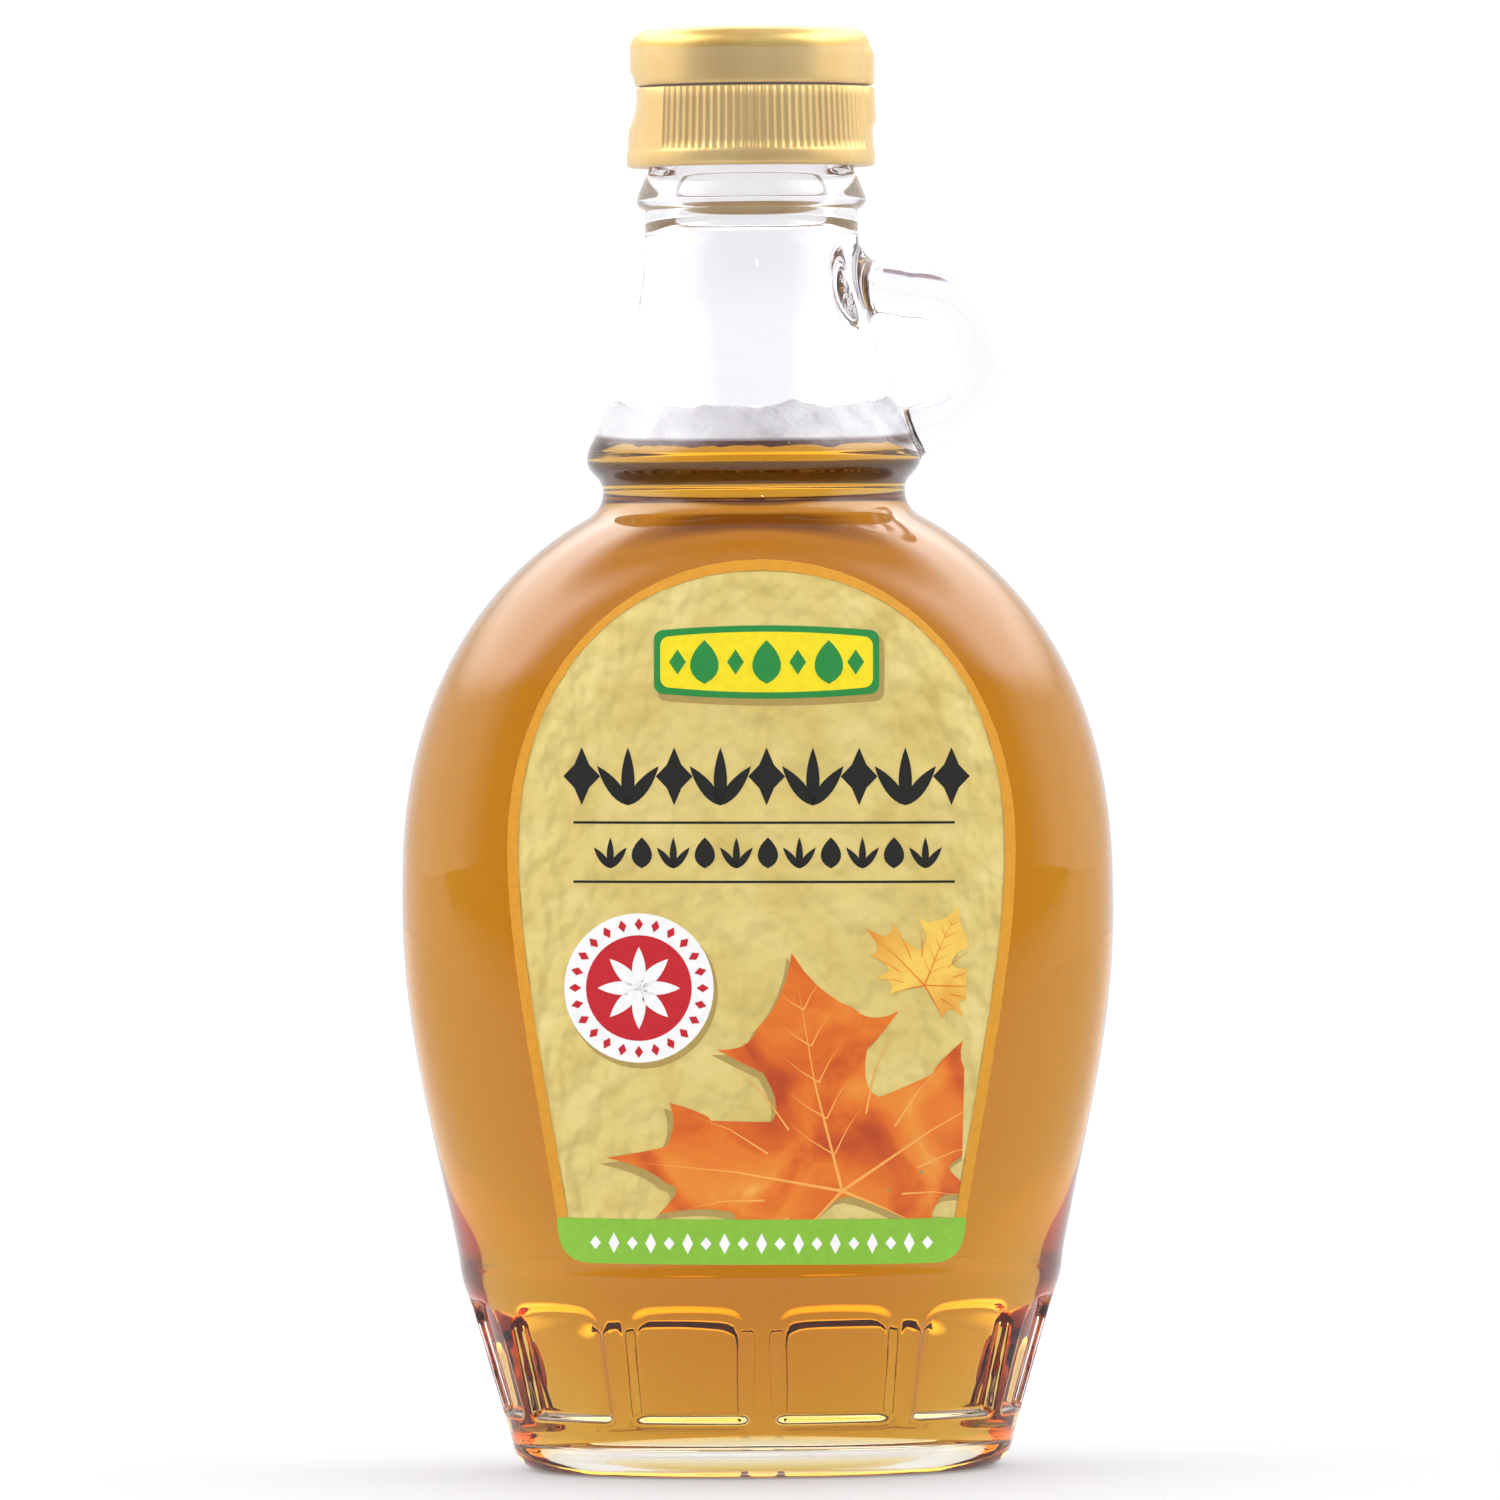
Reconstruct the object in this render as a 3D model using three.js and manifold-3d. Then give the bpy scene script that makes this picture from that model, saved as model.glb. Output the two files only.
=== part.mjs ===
// A maple syrup bottle: an oval glass flask with a ring handle, its syrup, and a flip-top cap under a seal.
// Millimetres, +Z up. The origin is the middle of the foot, the label faces -Y and the handle is on +X.
import * as THREE from "three";
import { mergeVertices } from "three/addons/utils/BufferGeometryUtils.js";
import Module from "manifold-3d";

const wasm = await Module();
wasm.setup();

// A station is one level of the bottle: half width, half depth and height.
const station = (halfWidth, halfDepth, height) => new THREE.Vector3(halfWidth, halfDepth, height);

// Driving stations of the glass, from the foot to the mouth
const FOOT = station(26, 15.5, 0);
const HEEL = station(30.4, 19.3, 3.8);
const LEDGE = station(36.3, 24.8, 24.4);
const BELLY = station(43, 25.6, 71);
const SHOULDER_TOP = station(20, 19.6, 115.2);
const WAIST = station(18.3, 18.3, 118.3);
const BULGE = station(20.2, 20.2, 122.1);
const BULGE_TOP = station(19.4, 19.4, 124.6);
const NECK = station(12.9, 12.9, 149);
const NECK_TOP = station(12.9, 12.9, 152.2);
const FINISH = station(12.4, 12.4, 157);
const MOUTH_Z = 164.6;

// Glass
const SQUARENESS = 0.25; // added to an ellipse's exponent of 2 where the section is at its most oval
const BODY_SQUARENESS = { more: 0.9, from: 26, to: 50 }; // added too, growing between two heights
const OVAL_RATIO = 0.5; // width over depth, less 1, from which the section has its full squareness
const SEGMENTS = 40; // round the outside
const INSIDE_SEGMENTS = 32;
const FINENESS = 0.02; // triangles finer than this are merged once a solid is whole
const WALL = 3.4;
const FLOOR_Z = 4.4;
const FLOOR_RISE = 2.6;
const FLOOR_CORNER = 4.4;
const FLOOR_ELBOW = 0.6; // how far inside the wall the floor's corner is drawn from
const BORE = 9.4;
const PUNT_RING = 3.2; // width of the flat ring that the bottle stands on
const PUNT_RISE = 1.6;
const PUNT_TOP = 0.25; // width of the push-up's flat top as a share of its rim
const LEDGE_BEAD = { z: 22.8, stands: 0.55, reach: 3.6 };
const NECK_BEAD = { stands: 0.95, peak: 153.4 };

// Arched panels pressed into the base
const PANELS = 12;
const PANEL = {
  low: 6.9, spring: 16.4, top: 21.2, rib: 2.8, recess: 1.1, taper: 0.6, corner: 0.55, sag: 0.3,
};
const PANEL_REACH = 7; // how far a panel's cutter goes to each side of the wall

// Ring handle
const HANDLE = { x: 19.6, z: 133.8, ring: 8.05, thick: 2.9, deep: 3.1, sides: 12 };
const HANDLE_ROOT = { x: 11, topZ: 142.4, lowZ: 125.2 }; // its two ends, inside the neck's wall
const HANDLE_FLARE = { from: 18.5, reach: 5, gain: 0.9 }; // how it thickens towards the axis
const HANDLE_STEPS = 23;

// Contents
const SYRUP_Z = 123.6;
const FOAM_Z = 128.1;
const GAP = 0.3;

// Cap
const CAP_LOW = 157.4;
const CAP_SEAM = 167.1;
const CAP_TOP = 174.3;
const CAP_R = 14.5;
const CAP_FLARE = 0.5;
const CAP_BAND = 2; // height of the smooth band below the grip
const CAP_SEAM_WIDTH = 0.4;
const CAP_SEAM_DEPTH = 1;
const CAP_SEGMENTS = 80;
const RIB_DEPTH = 0.22;
const CAP_EDGE = 0.35; // bevel of the skirt's foot
const SMOOTH_SPAN = 42; // degrees of the skirt on each side of the thumb recess with no grip
const HINGE_SPAN = 23; // the same on each side of the hinge
const LID_ROUND = 2.2;
const LID_DOME = 0.3;
const THUMB = { depth: 0.9, height: 4.2, half: 5.4 };
const HINGE = { width: 9, proud: 0.5, low: 163.2, high: 171.2 };

// Clear sealing film round the closed cap and the neck's bead
const FILM = { low: 151.9, top: 171.6, thick: 0.3, clear: 0.32, waist: 156.1, gripTop: 165.1 };

// Paper label
const LABEL = {
  halfWidth: 30.3, top: 110.2, widest: 76, bottom: 26.2, footHalf: 24.4, footTop: 31.6, corner: 4.2,
  thick: 0.25, shift: 0.5,
  crown: 17.5, side: 19.5, hip: 12, flank: { width: 27.7, z: 52 }, // how the arch's curves are drawn out
};
const THROUGH = 100; // longer than any part of the bottle that is cut with it

// The exponent of a station's section: 2 for a circle, more where it is oval.
function squareness({ x: halfWidth, y: halfDepth, z: height }) {
  const { more, from, to } = BODY_SQUARENESS;
  const most = SQUARENESS + more * THREE.MathUtils.smoothstep(height, from, to);
  return 2 + most * THREE.MathUtils.clamp((halfWidth / halfDepth - 1) / OVAL_RATIO, 0, 1);
}

// An oval ring of points round the Z axis, between an ellipse and a rounded rectangle.
function ovalRing(level, segments = SEGMENTS) {
  const { x: halfWidth, y: halfDepth, z: height } = level;
  const power = squareness(level);
  return Array.from({ length: segments }, (_, i) => {
    const turn = (2 * Math.PI * i) / segments;
    const c = Math.cos(turn);
    const s = Math.sin(turn);
    const k = (Math.abs(c) ** power + Math.abs(s) ** power) ** (-1 / power);
    return new THREE.Vector3(halfWidth * c * k, halfDepth * s * k, height);
  });
}

// A closed surface through rings of equal length, with a flat fan over each end.
function loft(rings) {
  const around = rings[0].length;
  const middle = (ring) => ring.reduce((sum, p) => sum.add(p), new THREE.Vector3()).divideScalar(around);
  const points = [...rings.flat(), middle(rings[0]), middle(rings.at(-1))];
  const first = points.length - 2;
  const last = points.length - 1;
  const top = (rings.length - 1) * around;
  const faces = [];
  for (let i = 0; i < around; i++) {
    const j = (i + 1) % around;
    for (let r = 0; r < top; r += around)
      faces.push(r + i, r + j, r + around + j, r + i, r + around + j, r + around + i);
    faces.push(first, j, i, last, top + i, top + j);
  }
  const geometry = new THREE.BufferGeometry().setFromPoints(points);
  geometry.setIndex(faces);
  return geometry;
}

// A closed three.js geometry as a manifold-3d solid, and back.
function toSolid(geometry) {
  const bare = geometry.clone();
  bare.deleteAttribute("normal");
  bare.deleteAttribute("uv");
  const merged = mergeVertices(bare, 1e-4);
  const mesh = new wasm.Mesh({
    numProp: 3,
    vertProperties: merged.attributes.position.array,
    triVerts: new Uint32Array(merged.index.array),
  });
  return new wasm.Manifold(mesh);
}

function toGeometry(solid) {
  const { vertProperties, triVerts } = solid.simplify(FINENESS).getMesh();
  const geometry = new THREE.BufferGeometry();
  geometry.setAttribute("position", new THREE.BufferAttribute(new Float32Array(vertProperties), 3));
  geometry.setIndex(new THREE.BufferAttribute(new Uint32Array(triVerts), 1));
  const flat = geometry.toNonIndexed();
  flat.computeVertexNormals();
  return flat;
}

// The station at a height on the straight wall between two others.
const onWall = (from, to, height) => from.clone().lerp(to, (height - from.z) / (to.z - from.z));

// The stretches of the glass's side, each a curve through stations.
const baseWall = () => new THREE.LineCurve3(HEEL, LEDGE);
const lowerBody = () =>
  new THREE.CubicBezierCurve3(LEDGE, station(39.7, 25.2, 43), station(43.4, 25.6, 54), BELLY);
const shoulder = () =>
  new THREE.CubicBezierCurve3(BELLY, station(43, 25.6, 99), station(28.2, 25.8, 110.8), SHOULDER_TOP);
const waist = () =>
  new THREE.QuadraticBezierCurve3(SHOULDER_TOP, station(18.3, 18.3, 116.3), WAIST);
const bulge = () =>
  new THREE.CubicBezierCurve3(WAIST, station(18.3, 18.3, 120.1), station(20.2, 20.2, 120.4), BULGE);
const bulgeTop = () =>
  new THREE.QuadraticBezierCurve3(BULGE, station(20.2, 20.2, 123.3), BULGE_TOP);
const neck = () =>
  new THREE.CubicBezierCurve3(BULGE_TOP, station(16.4, 16.4, 131.6), station(12.9, 12.9, 139.5), NECK);

// Samples several stretches end to end, without doubling the stations where they meet.
function sample(stretches) {
  const stations = stretches.flatMap(([curve, steps]) => curve.getPoints(steps).slice(0, -1));
  return [...stations, stretches.at(-1)[0].getPoint(1)];
}

// The stretches from the ledge to the waist, each with its number of steps.
const bodyWall = () => [[lowerBody(), 8], [shoulder(), 10], [waist(), 2]];

// How far the soft ledge above the base stands out of the wall at a height.
function ledgeBead(height) {
  const t = Math.abs(height - LEDGE_BEAD.z) / LEDGE_BEAD.reach;
  return t < 1 ? LEDGE_BEAD.stands * Math.cos((t * Math.PI) / 2) ** 2 : 0;
}

const grown = (by) => ({ x, y, z }) => station(x + by, y + by, z);
const withBead = ({ x, y, z }) => station(x + ledgeBead(z), y + ledgeBead(z), z);

// The body's outer wall from the heel to the bulge, grown outwards by some distance.
function bodySolid(by) {
  const stations = sample([[baseWall(), 1], ...bodyWall()]);
  return toSolid(loft(stations.map(grown(by)).map((s) => ovalRing(s))));
}

function outerGlass() {
  const heel = new THREE.QuadraticBezierCurve3(FOOT, station(30, 18.9, 0), HEEL);
  const [, firstLevel, ...walls] = sample([...bodyWall(), [bulge(), 3], [bulgeTop(), 2], [neck(), 6]]);
  const beadLow = [-1, -0.6, -0.3, 0].map((t) => onWall(HEEL, LEDGE, LEDGE_BEAD.z + t * LEDGE_BEAD.reach));
  const beadTop = onWall(LEDGE, firstLevel, LEDGE_BEAD.z + LEDGE_BEAD.reach);
  const bead = station(NECK_TOP.x + NECK_BEAD.stands, NECK_TOP.y + NECK_BEAD.stands, NECK_BEAD.peak);
  const mouth = station(FINISH.x, FINISH.y, MOUTH_Z);
  const wall = [...heel.getPoints(3), ...beadLow, LEDGE, beadTop, firstLevel, ...walls].map(withBead);
  const stations = [...wall, NECK_TOP, bead, FINISH, mouth];
  return toSolid(loft(stations.map((s) => ovalRing(s))));
}

// The shallow push-up under the foot, inside the ring that the bottle stands on.
function punt() {
  const rim = grown(-PUNT_RING)(FOOT);
  const levels = [-1, 0, 0.55, 1].map((t) => {
    const width = t < 0 ? 1 : 1 - (1 - PUNT_TOP) * t ** 1.5;
    return station(rim.x * width, rim.y * width, t * PUNT_RISE);
  });
  return toSolid(loft(levels.map((s) => ovalRing(s))));
}

// The inside of the glass up to a height, pulled in from the wall by a clearance.
function cavity(top, clearance) {
  const inner = grown(-WALL - clearance);
  const floorZ = FLOOR_Z + clearance;
  const cornerTop = inner(onWall(HEEL, LEDGE, floorZ + FLOOR_CORNER));
  const floorEdge = grown(-FLOOR_CORNER)(cornerTop).setZ(floorZ);
  const elbow = grown(-FLOOR_ELBOW)(cornerTop).setZ(floorZ);
  const corner = new THREE.QuadraticBezierCurve3(floorEdge, elbow, cornerTop).getPoints(3);
  const floor = [0.25, 0.7].map((t) =>
    station(floorEdge.x * t, floorEdge.y * t, floorZ + FLOOR_RISE * (1 - t * t)));
  const walls = sample([
    [lowerBody(), 4], [shoulder(), 8], [waist(), 1], [bulge(), 2], [bulgeTop(), 1], [neck(), 5],
  ]).map(inner);
  const above = walls.findIndex(({ z }) => z > top - 0.5);
  const rim = onWall(walls[above - 1], walls[above], top);
  const levels = [...floor, ...corner, ...walls.slice(0, above), rim];
  return toSolid(loft(levels.map((s) => ovalRing(s, INSIDE_SEGMENTS))));
}

// One arched outline, standing in the XY plane with its foot on y = 0.
function archShape(halfTop, halfLow, spring, height) {
  const corner = halfTop * PANEL.corner;
  const arch = new THREE.Shape();
  arch.moveTo(-halfLow, 0);
  arch.lineTo(halfLow, 0);
  arch.lineTo(halfTop, spring);
  arch.quadraticCurveTo(halfTop, height - 2 * PANEL.sag, halfTop - corner, height - PANEL.sag);
  arch.quadraticCurveTo(0, height + PANEL.sag, corner - halfTop, height - PANEL.sag);
  arch.quadraticCurveTo(-halfTop, height - 2 * PANEL.sag, -halfTop, spring);
  return arch;
}

// The curved recesses of the panels, to be cut out of the base.
function panelRecesses() {
  const skin = bodySolid(2).subtract(bodySolid(-PANEL.recess));
  const ribs = ovalRing(onWall(HEEL, LEDGE, PANEL.spring), PANELS);
  const prisms = ribs.map((rib, i) => {
    const next = ribs[(i + 1) % ribs.length];
    const along = next.clone().sub(rib);
    const half = (along.length() - PANEL.rib) / 2;
    const shape = archShape(half, half - PANEL.taper, PANEL.spring - PANEL.low, PANEL.top - PANEL.low);
    const prism = new THREE.ExtrudeGeometry(
      shape, { depth: 2 * PANEL_REACH, bevelEnabled: false, curveSegments: 3 });
    prism.rotateX(Math.PI / 2);
    prism.rotateZ(Math.atan2(along.y, along.x));
    const centre = rib.clone().add(next).multiplyScalar(0.5).setZ(PANEL.low);
    const inward = new THREE.Vector3(-along.y, along.x, 0).setLength(PANEL_REACH);
    prism.translate(...centre.add(inward));
    return toSolid(prism);
  });
  return prisms.map((prism) => prism.intersect(skin)).reduce((all, one) => all.add(one));
}

// The ring handle: a round bar from the neck's wall round and back into it, thicker at its two roots.
function handle() {
  const { x, z, ring } = HANDLE;
  const arc = Array.from({ length: 13 }, (_, i) => {
    const turn = Math.PI / 2 - (Math.PI * i) / 12;
    return new THREE.Vector3(x + ring * Math.cos(turn), 0, z + ring * Math.sin(turn));
  });
  const top = new THREE.Vector3(HANDLE_ROOT.x, 0, HANDLE_ROOT.topZ);
  const low = new THREE.Vector3(HANDLE_ROOT.x, 0, HANDLE_ROOT.lowZ);
  const path = new THREE.CatmullRomCurve3([top, ...arc, low]);
  const rings = Array.from({ length: HANDLE_STEPS + 1 }, (_, i) => {
    const centre = path.getPointAt(i / HANDLE_STEPS);
    const along = path.getTangentAt(i / HANDLE_STEPS);
    const out = new THREE.Vector3(-along.z, 0, along.x);
    const inside = Math.max(0, HANDLE_FLARE.from - centre.x) / HANDLE_FLARE.reach;
    const flare = 1 + HANDLE_FLARE.gain * Math.min(inside, 1) ** 2;
    return Array.from({ length: HANDLE.sides }, (_, j) => {
      const turn = (2 * Math.PI * j) / HANDLE.sides;
      const [thick, deep] = [HANDLE.thick * flare * Math.cos(turn), HANDLE.deep * flare * Math.sin(turn)];
      return centre.clone().addScaledVector(out, thick).setY(-deep);
    });
  });
  return toSolid(loft(rings));
}

function bore() {
  const low = station(BORE, BORE, NECK.z - 6);
  const top = station(BORE, BORE, MOUTH_Z + 1);
  return toSolid(loft([low, top].map((s) => ovalRing(s, INSIDE_SEGMENTS))));
}

function glassBottle() {
  return outerGlass()
    .add(handle())
    .subtract(punt())
    .subtract(panelRecesses())
    .subtract(cavity(NECK.z, 0))
    .subtract(bore());
}

// Foam and syrup share the cavity's shape. The foam is what is left of it above the syrup.
const syrup = () => cavity(SYRUP_Z, GAP);

function foam() {
  const above = toSolid(
    new THREE.BoxGeometry(THROUGH, THROUGH, THROUGH).translate(0, 0, SYRUP_Z + GAP + THROUGH / 2));
  return cavity(FOAM_Z, GAP).intersect(above);
}

// A solid turned round the Z axis from a profile of [radius, height] pairs.
function turned(profile, segments) {
  const closed = [...profile, profile[0]].map(([r, z]) => new THREE.Vector2(r, z));
  return toSolid(new THREE.LatheGeometry(closed, segments).rotateX(Math.PI / 2));
}

// The skirt's grip: fine ribs all round but for a smooth stretch under the thumb recess.
function gripGrooves() {
  const step = (2 * Math.PI) / CAP_SEGMENTS;
  const grooves = [];
  for (let i = 0; i < CAP_SEGMENTS; i += 2) {
    const turn = i * step;
    const fromThumb = Math.abs(THREE.MathUtils.radToDeg(turn) - 180);
    const fromHinge = 180 - fromThumb;
    if (fromThumb < SMOOTH_SPAN || fromHinge < HINGE_SPAN) continue;
    const height = CAP_SEAM - CAP_LOW - CAP_BAND;
    const groove = new THREE.BoxGeometry(2 * RIB_DEPTH, CAP_R * step, height);
    groove.translate(CAP_R, 0, CAP_LOW + CAP_BAND + height / 2);
    grooves.push(toSolid(groove.rotateZ(turn)));
  }
  return grooves.reduce((all, one) => all.add(one));
}

// Flip-top cap in one moulding: the skirt and the closed lid, parted by a groove that the hinge bridges.
function cap() {
  const inside = FINISH.x + GAP;
  const seamR = CAP_R - CAP_SEAM_DEPTH;
  const halfSeam = CAP_SEAM_WIDTH / 2;
  const round = Array.from({ length: 5 }, (_, i) => {
    const turn = (i * Math.PI) / 8;
    return [
      CAP_R - LID_ROUND + LID_ROUND * Math.cos(turn),
      CAP_TOP - LID_DOME - LID_ROUND + LID_ROUND * Math.sin(turn),
    ];
  });
  const shell = turned([
    [inside, CAP_LOW], [CAP_R + CAP_FLARE - CAP_EDGE, CAP_LOW], [CAP_R + CAP_FLARE, CAP_LOW + CAP_EDGE],
    [CAP_R + CAP_FLARE, CAP_LOW + CAP_BAND], [CAP_R, CAP_LOW + CAP_BAND + CAP_EDGE],
    [CAP_R, CAP_SEAM - halfSeam], [seamR, CAP_SEAM - halfSeam], [seamR, CAP_SEAM + halfSeam],
    [CAP_R, CAP_SEAM + halfSeam], ...round, [0, CAP_TOP], [0, MOUTH_Z + GAP], [inside, MOUTH_Z + GAP],
  ], CAP_SEGMENTS);
  const thumb = new THREE.SphereGeometry(1, 16, 10)
    .scale(THUMB.depth * 2, THUMB.half, THUMB.height)
    .translate(-CAP_R - THUMB.depth, 0, CAP_SEAM - THUMB.height * 0.35);
  const hingeR = CAP_R + HINGE.proud;
  const strap = new THREE.CylinderGeometry(hingeR, hingeR, HINGE.high - HINGE.low, CAP_SEGMENTS);
  strap.rotateX(Math.PI / 2).translate(0, 0, (HINGE.high + HINGE.low) / 2);
  const side = new THREE.BoxGeometry(2 * CAP_SEAM_DEPTH, HINGE.width, THROUGH);
  side.translate(hingeR, 0, CAP_SEAM);
  const hinge = toSolid(strap).intersect(toSolid(side));
  return shell.subtract(toSolid(thumb)).subtract(gripGrooves()).add(hinge);
}

// The clear film that seals the closed cap: a thin sleeve over the lid's side, the skirt and the neck's bead.
function sealingFilm() {
  const over = (radius, height) => [radius + FILM.clear, height];
  const beadR = NECK_TOP.x + NECK_BEAD.stands;
  const bandTop = CAP_LOW + CAP_BAND;
  const path = [
    over(NECK_TOP.x, FILM.low), over(beadR, NECK_BEAD.peak), over(FINISH.x + GAP, FILM.waist),
    over(CAP_R + CAP_FLARE, CAP_LOW - FILM.clear), over(CAP_R + CAP_FLARE, bandTop),
    over(CAP_R + HINGE.proud, FILM.gripTop), over(CAP_R + HINGE.proud, FILM.top),
  ];
  const outside = path.map(([radius, height]) => [radius + FILM.thick, height]);
  return turned([...outside, ...path.reverse()], INSIDE_SEGMENTS);
}

// The label's outline: a round-headed arch that narrows to a foot with rounded corners.
function labelShape() {
  const { halfWidth, top, widest, bottom, footHalf, footTop, corner } = LABEL;
  const { crown, side, hip, flank } = LABEL;
  const outline = new THREE.Shape();
  outline.moveTo(0, bottom);
  outline.lineTo(footHalf - corner, bottom);
  outline.quadraticCurveTo(footHalf, bottom, footHalf, footTop);
  outline.bezierCurveTo(flank.width, flank.z, halfWidth, widest - hip, halfWidth, widest);
  outline.bezierCurveTo(halfWidth, widest + side, crown, top, 0, top);
  outline.bezierCurveTo(-crown, top, -halfWidth, widest + side, -halfWidth, widest);
  outline.bezierCurveTo(-halfWidth, widest - hip, -flank.width, flank.z, -footHalf, footTop);
  outline.quadraticCurveTo(-footHalf, bottom, corner - footHalf, bottom);
  outline.closePath();
  return outline;
}

function label() {
  const slab = new THREE.ExtrudeGeometry(
    labelShape(), { depth: THROUGH, bevelEnabled: false, curveSegments: 10 });
  slab.rotateX(Math.PI / 2).translate(LABEL.shift, 0, 0);
  return bodySolid(GAP + LABEL.thick).subtract(bodySolid(GAP)).intersect(toSolid(slab));
}

function piece(name, solid, material) {
  const mesh = new THREE.Mesh(toGeometry(solid), new THREE.MeshStandardMaterial(material));
  mesh.name = name;
  return mesh;
}

const glassLook = { color: 0xe8eeec, roughness: 0.05, metalness: 0, transparent: true, opacity: 0.35 };
const bottle = new THREE.Group();
bottle.add(
  piece("glass_bottle", glassBottle(), glassLook),
  piece("syrup", syrup(), { color: 0xc0701c, roughness: 0.08, metalness: 0 }),
  piece("foam", foam(), { color: 0xe6e2d8, roughness: 0.6, metalness: 0 }),
  piece("cap", cap(), { color: 0xd9b871, roughness: 0.35, metalness: 0.6 }),
  piece("sealing_film", sealingFilm(), { ...glassLook, color: 0xf2f2f4, opacity: 0.2 }),
  piece("label", label(), { color: 0xddc877, roughness: 0.7, metalness: 0 }),
);

export default bottle;
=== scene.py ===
"""A bottle of maple syrup: a clear oval flask with a ring handle, its syrup and foam, the gold flip-top cap
under its clear seal, and the printed front label."""

import math
from bisect import bisect_right

import bmesh
import bpy
from mathutils import Matrix, Vector, noise
from mathutils.geometry import interpolate_bezier


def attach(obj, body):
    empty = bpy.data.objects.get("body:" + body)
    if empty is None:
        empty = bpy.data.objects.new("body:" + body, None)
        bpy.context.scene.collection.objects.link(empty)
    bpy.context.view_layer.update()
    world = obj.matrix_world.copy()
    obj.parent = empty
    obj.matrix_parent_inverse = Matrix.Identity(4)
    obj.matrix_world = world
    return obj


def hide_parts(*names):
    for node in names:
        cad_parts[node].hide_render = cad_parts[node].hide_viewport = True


MM = 0.001

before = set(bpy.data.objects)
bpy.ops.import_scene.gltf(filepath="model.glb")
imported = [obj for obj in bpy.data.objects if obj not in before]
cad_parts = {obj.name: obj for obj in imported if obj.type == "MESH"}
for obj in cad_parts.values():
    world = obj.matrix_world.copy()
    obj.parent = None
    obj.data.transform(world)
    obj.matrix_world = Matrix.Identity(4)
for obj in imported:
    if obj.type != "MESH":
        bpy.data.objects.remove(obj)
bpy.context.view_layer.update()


# Glass, in millimetres: each station is half width, half depth and height
FOOT = Vector((26, 15.5, 0))
HEEL_CORNER = Vector((30, 18.9, 0))
HEEL = Vector((30.4, 19.3, 3.8))
LEDGE = Vector((36.3, 24.8, 24.4))
BELLY = Vector((43, 25.6, 71))
SHOULDER_TOP = Vector((20, 19.6, 115.2))
WAIST = Vector((18.3, 18.3, 118.3))
BULGE = Vector((20.2, 20.2, 122.1))
BULGE_TOP = Vector((19.4, 19.4, 124.6))
NECK = Vector((12.9, 12.9, 149))
NECK_TOP = Vector((12.9, 12.9, 152.2))
FINISH = Vector((12.4, 12.4, 157))
MOUTH_Z = 164.6
SQUARENESS = 0.25  # how far an oval section is from an ellipse, at the base
BODY_SQUARENESS = {"more": 0.9, "from": 26, "to": 50}
OVAL_RATIO = 0.5
WALL = 3.4
BORE = 9.4
FLOOR_Z = 3.6
FLOOR_RISE = 2.2
FLOOR_CORNER = 3.8
PUNT_RING = 3.2
PUNT_RISE = 1.6
LEDGE_BEAD = {"z": 22.8, "stands": 0.25, "reach": 3.6}
NECK_BEAD = {"stands": 0.95, "peak": 153.4, "low_pull": (13.9, 152.6), "top_pull": (13.8, 154.3)}
LIP = [(12.4, -0.8), (11.6, 0), (10.2, 0), (BORE, -0.8)]  # radius, and height off the mouth's top
GLASS_COLUMNS = 384
GLASS_INDEX = 1.5
SYRUP_INDEX = 1.46

PANELS = 12
PANEL = {"low": 6.7, "top": 21.4, "rib": 2.0, "depth": 1.15, "bevel": 1.2, "taper": 0.6, "arch": 0.7,
         "top_corner": 3.0, "low_corner": 1.0, "measured_at": 16.4}

HANDLE = {"x": 19.6, "z": 133.8, "ring": 8.05, "thick": 2.92, "deep": 3.1}
HANDLE_TOP = {"start": (16.9, 142.3), "outer": 3.2, "inner": 1.6}  # its root's fillets, outside and in
HANDLE_LOW = {"start": -75, "outer": 1.0, "inner": 0.8}
HANDLE_SIDES = 48
HANDLE_STEPS = 64
ROOT_STEPS = 10
ROOT_STEP = 8.5  # degrees round the fillet
ROOT_SUNK = (0.12, 0.8, 1.5)  # how deep the bar's ends go into the wall

SYRUP_Z = 123.6
FOAM_Z = 128.1
INTO_WALL = 0.15
MENISCUS = [(0.5, 0.25), (1.2, 0.4), (2.5, 0.45)]  # how far in from the glass, and how far down
FOAM_DIP = 0.35
FOAM_SAG = 0.4
FOAM_SOAKED = (0.1, 0.7)  # heights above the syrup's level, from soaked to dry

# Cap and its clear seal
CAP_LOW = 157.4
CAP_SEAM = 167.1
CAP_TOP = 174.3
CAP_R = 14.5
CAP_FLARE = 0.5
CAP_BAND = 2.0
CAP_RIBS = 100
RIB_DEPTH = 0.2
RIB_COLUMNS = 8
LID_ROUND = 2.2
LID_DOME = 0.3
SMOOTH_SPAN = math.radians(45)  # to either side of the thumb recess, without ribs
SEAM_WIDTH = 0.2
THUMB = {"z": CAP_SEAM - 1.6, "half_tall": 3.6, "half_turn": 0.5, "deep": 0.8}
HINGE = {"half_tall": 5, "half_turn": math.radians(20), "stands": 0.5}
FILM = {"clear": 0.1, "thick": 0.06, "edge": 0.02, "low_loose": 153, "top_loose": 171, "columns": 256}

# Label, on the front of the glass
LABEL = {"half": 30.3, "top": 110.2, "widest": 76, "bottom": 26.2, "foot_half": 24.4, "foot_top": 31.6,
         "corner": 4.2, "shift": 0.5, "border": 1.3, "lean": math.radians(-0.53)}


def smooth_step(low, high, value):
    share = min(max((value - low) / (high - low), 0), 1)
    return share * share * (3 - 2 * share)


def grown(station, by):
    return Vector((station.x + by, station.y + by, station.z))


def round_station(radius, height):
    return Vector((radius, radius, height))


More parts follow.
